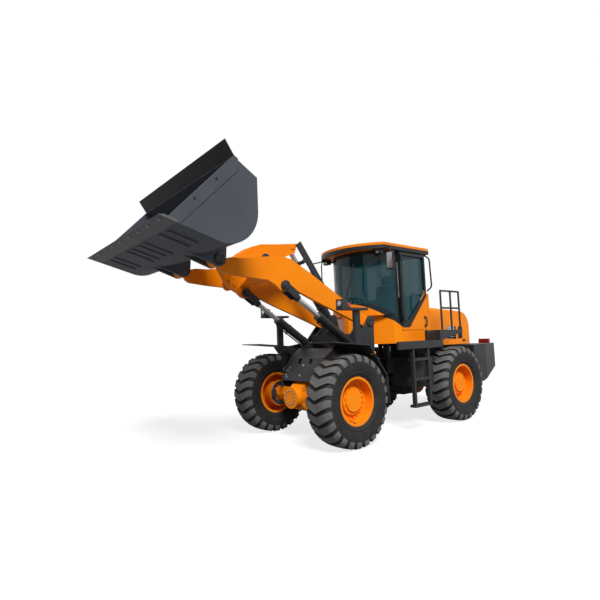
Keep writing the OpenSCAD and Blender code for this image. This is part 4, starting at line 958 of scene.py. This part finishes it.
def addPad(bm, middle, half, crownAxis, turn):
    block = bmesh.new()
    bmesh.ops.create_cube(block, size=2.0)
    bmesh.ops.subdivide_edges(block, edges=block.edges[:], cuts=padShape.cuts, use_grid_fill=True)
    soft, crown = padShape.soft, padShape.crown
    lie = Matrix.Rotation(turn, 3, "Y")
    copies = {}
    for v in block.verts:
        core = Vector([max(-1 + soft / h, min(1 - soft / h, c)) * h for c, h in zip(v.co, half)])
        out = Vector([c * h for c, h in zip(v.co, half)]) - core
        q = core + (out.normalized() * soft if out.length > 1e-9 else Vector())
        a, b = [v.co[i] for i in range(3) if i != crownAxis]
        off = (abs(v.co.y) - padShape.seamAt) / padShape.seamWidth
        seam = 1 - padShape.seamDepth * exp(-off ** 2)  # stitched panels
        q[crownAxis] += crown * max(0.0, v.co[crownAxis]) * (1 - a * a) * (1 - b * b) * seam
        copies[v] = bm.verts.new(middle + lie @ q)
    for f in block.faces:
        bm.faces.new([copies[v] for v in f.verts])
    block.free()


def makeSeat():
    bm = bmesh.new()
    addBlock(bm, seatBase.low, seatBase.high, seatBase.bevel, 3)
    for y in (-seatBase.postY, seatBase.postY):
        low, high = (spot(x, y, z) for x, z in seatBase.post)
        addRod(bm, low, high, seatBase.postRadius)
    base = makePiece("seatBase", bm, "cabPlastic", "chassis")
    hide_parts("seat")
    for name, (middle, half, axis, turn) in seatPads.items():
        bm = bmesh.new()
        addPad(bm, spot(*middle), half, axis, turn)
        pad = makePiece("seat" + name, bm, "seatCloth", "chassis", 80)


makeSeat()
print("seat padded")

# rubber flaps behind the front wheels
flaps = Spec(top=(0.775, 1.0), foot=(0.735, 0.56), inner=0.66, outer=1.145, thick=0.011, bolts=4,
    boltDrop=0.03, boltSink=0.0005, bolt=(0.011, 0.012))


def makeFlaps():
    (x0, z0), (x1, z1) = flaps.top, flaps.foot
    t, count = flaps.thick, flaps.bolts
    bm, bolts = bmesh.new(), bmesh.new()
    for side in bothSides:
        inner, outer = sorted((side * flaps.inner, side * flaps.outer))
        addPlate(bm, [(x0, z0), (x0 - t, z0), (x1 - t, z1), (x1, z1)], inner, outer)
        for k in range(count):
            y = inner + (outer - inner) * (k + 0.5) / count
            p = spot(x0 - t - flaps.boltSink, y, z0 - flaps.boltDrop)
            addHex(bolts, p, (-1, 0, 0), *flaps.bolt)
    makePiece("mudFlaps", bm, "hoseRubber", "front_unit")
    makePiece("flapBolts", bolts, "boltSteel", "front_unit", 30)


makeFlaps()

# seam on the bucket's sides, and black discs that paint the shade inside its holes
sideMarks = Spec(holes=[(3.952, 3.078), (3.682, 3.342)], face=1.3, seamOff=0.09, seamHalf=0.5,
    seamTube=0.0045, holeRadius=0.017, holeRim=1.15, holeOut=0.0012, holeSink=0.002)


def makeSideMarks():
    seam, holes = bmesh.new(), bmesh.new()
    a, b = (Vector((x, 0, z)) for x, z in sideMarks.holes)
    run = (a - b).normalized()
    mid = (a + b) / 2 - Vector((-run.z, 0, run.x)) * sideMarks.seamOff
    r, out = sideMarks.holeRadius, sideMarks.holeOut
    disc = [(0, out), (r, out), (r * sideMarks.holeRim, 0), (0, -sideMarks.holeSink)]
    for side in bothSides:
        face = side * sideMarks.face
        for x, z in sideMarks.holes:
            # each disc is painted shade, standing in for the dark inside of a hole
            addLathe(holes, disc, spot(x, face, z), (0, side, 0), 24, False)
        points = [mid + run * s for s in (-sideMarks.seamHalf, 0, sideMarks.seamHalf)]
        addTube(seam, [spot(p.x, face, p.z) for p in points], sideMarks.seamTube, 8)
    makePiece("sideSeams", seam, "blackPaint", "bucket")
    makePiece("sideHoleShades", holes, "blackPaint", "bucket")


makeSideMarks()

# seams and latches on the hood's sides, a handle across its back and bolts on the counterweight
rear = Spec(face=0.5705, seamX=-1.72, seamZ=(1.4, 1.56, 1.72), seamSink=0.002, seamTube=0.004,
    latch=(-2.45, 1.42), latchHalf=(0.05, 0.02), latchOut=0.012, latchBevel=0.005,
    bolts=[(0.42, 0.98), (0.42, 1.24)], boltFrom=-4.0, bolt=(0.022, 0.02),
    bar=[(-2.6755, -0.22), (-2.7305, -0.22), (-2.7305, 0.22), (-2.6755, 0.22)], barZ=1.38, barBend=0.03,
    barTube=0.011)


def makeRear():
    seam, black, steel = bmesh.new(), bmesh.new(), bmesh.new()
    (x, z), (wide, tall) = rear.latch, rear.latchHalf
    for side in bothSides:
        face = side * rear.face
        inside = face - side * rear.seamSink
        addTube(seam, [spot(rear.seamX, inside, high) for high in rear.seamZ], rear.seamTube, 8)
        low, high = sorted((face, face + side * rear.latchOut))
        addBlock(black, (x - wide, low, z - tall), (x + wide, high, z + tall), rear.latchBevel, 3)
        for across, up in rear.bolts:
            start = spot(rear.boltFrom, side * across, up)
            addBoltOn(steel, "counterweight", start, (1, 0, 0), rear.bolt)
    bar = [spot(along, y, rear.barZ) for along, y in rear.bar]
    addBentTube(black, bar, rear.barBend, rear.barTube)
    makePiece("hoodSeams", seam, "blackPaint", "hood")
    makePiece("hoodLatches", black, "cabPlastic", "hood")
    makePiece("rearBolts", steel, "boltSteel", "chassis", 30)


makeRear()
print("rear dressed")

# bolts on the sloping front plate, each found by a ray against the plate's face, and towing rings
plate = Spec(bolts=[(1.4, 0.31), (1.44, 0.34), (1.5, 0.34), (1.53, 0.31), (1.36, 0.0), (1.5, 0.0)],
    ahead=0.6, level=2.68, slope=0.9, inward=(-0.865, 0, -0.502), bolt=(0.015, 0.014))
towRing = Spec(middle=(1.486, 0.386, 1.059), radius=0.052, steps=28, tube=0.011)


def makeFrontTrim():
    bolts, ring = bmesh.new(), bmesh.new()
    for x, y in plate.bolts:
        for side in (bothSides if y else (1,)):
            start = spot(x + plate.ahead, side * y, plate.level - x * plate.slope)
            addBoltOn(bolts, "front_frame", start, plate.inward, plate.bolt)
    x, y, z = towRing.middle
    for side in bothSides:
        path = [spot(x, side * y, z) + Vector((cos(a), 0, sin(a))) * towRing.radius
                for a in circle(towRing.steps)]
        addTube(ring, path + path[:1], towRing.tube, 8)
    makePiece("plateBolts", bolts, "boltSteel", "front_unit", 30)
    makePiece("towRings", ring, "framePaint", "front_unit")


# louvre on each side of the hood, leaning back, set on the hood's own face
louvre = Spec(outline=[(-2.24, 1.46), (-2.26, 1.7), (-2.42, 1.7), (-2.4, 1.46)], probe=(-2.33, 2.0, 1.56),
    thick=0.006, bevel=0.002, slats=6, first=0.7, spare=0.6, middle=-2.32, lean=0.083, half=0.065,
    slatHigh=0.01, slatFrom=0.005, slatTo=0.014)


def makeHoodSides():
    bm = bmesh.new()
    foot, top = louvre.outline[0][1], louvre.outline[1][1]
    x, y, z = louvre.probe
    half, bevel = louvre.half, louvre.bevel
    for side in bothSides:
        face = onFace("hood", spot(x, side * y, z), (0, -side, 0))[0].y
        addPlate(bm, louvre.outline, *sorted((face - side * seated, face + side * louvre.thick)), bevel)
        ends = sorted((face + side * louvre.slatFrom, face + side * louvre.slatTo))
        for k in range(louvre.slats):
            low = foot + (top - foot) * (k + louvre.first) / (louvre.slats + louvre.spare)
            middle, high = louvre.middle - louvre.lean * (low - foot), low + louvre.slatHigh
            slat = [(middle - half, low), (middle + half, low), (middle + half, high), (middle - half, high)]
            addPlate(bm, slat, *ends, bevel)
    makePiece("sideGrilles", bm, "blackPaint", "hood")


# valve in each rim: its stem's points and its cap's ends, from its foot
valve = {"x": 0.02, "seat": 0.036, "ring": 0.288, "stem": [(0, 0), (0.04, 0), (0.085, -0.012)], "tube": 0.006,
         "cap": [(0.08, -0.011), (0.1, -0.017)], "capRadius": 0.009}


def makeValve(name):
    centre, left = wheelCentre(name)
    foot = centre + Vector((valve["x"], left * valve["seat"], -valve["ring"]))
    stem, cap = ([foot + Vector((0, left * y, z)) for y, z in valve[part]] for part in ("stem", "cap"))
    bm = bmesh.new()
    addTube(bm, smoothPath(stem), valve["tube"])
    addRod(bm, *cap, valve["capRadius"], 12)
    makePiece("valve_" + name, bm, "hoseRubber", "wheel_" + name)


makeFrontTrim()
makeHoodSides()
for name in corners:
    makeValve(name)
print("trim set")

# brake discs with calipers, and a bolted cover, on each axle
axles = {"front_axle": ("front_unit", 1), "rear_axle": ("chassis", -1)}
brake = Spec(inner=0.13, outer=0.2, thick=0.006, chamfer=0.003, steps=56, probeY=0.3, probeUp=0.18, bolts=10,
    boltRing=0.15, bolt=(0.009, 0.01), caliperX=0.16, caliperHalf=(0.042, 0.07), caliperDeep=0.05,
    caliperBevel=0.012)
cover = Spec(bolts=12, ring=0.108, ahead=1.0, bolt=(0.011, 0.011))


def makeAxleTrim(node, body, front):
    discs, calipers, bolts = bmesh.new(), bmesh.new(), bmesh.new()
    x, z = front * tyre.x, tyre.z
    t, c, inner, outer = brake.thick, brake.chamfer, brake.inner, brake.outer
    disc = [(inner, -seated), (inner, t), (outer - c, t), (outer, t - c), (outer, -seated)]
    across, (wide, tall) = x + front * brake.caliperX, brake.caliperHalf
    for side in bothSides:
        point, _ = onFace(node, spot(x, side * brake.probeY, z + brake.probeUp), (0, side, 0))
        if point:
            middle = spot(x, point.y, z)
            addLathe(discs, disc, middle, (0, -side, 0), brake.steps)
            for turn in circle(brake.bolts):
                ring = Vector((cos(turn), 0, sin(turn))) * brake.boltRing
                p = middle + ring - Vector((0, side * (t - seated), 0))
                addHex(bolts, p, (0, -side, 0), *brake.bolt)
            low, high = sorted((point.y - side * seated, point.y - side * brake.caliperDeep))
            addBlock(calipers, (across - wide, low, z - tall), (across + wide, high, z + tall),
                     brake.caliperBevel, 3)
    for turn in circle(cover.bolts, 0.5):
        y, up = cos(turn) * cover.ring, z + sin(turn) * cover.ring
        start = spot(x + front * cover.ahead, y, up)
        addBoltOn(bolts, node, start, (-front, 0, 0), cover.bolt)
    makePiece("brakeDiscs_" + node, discs, "edgeSteel", body)
    makePiece("calipers_" + node, calipers, "framePaint", body)
    makePiece("axleBolts_" + node, bolts, "boltSteel", body, 30)


for node, (body, front) in axles.items():
    makeAxleTrim(node, body, front)
print("axles dressed")
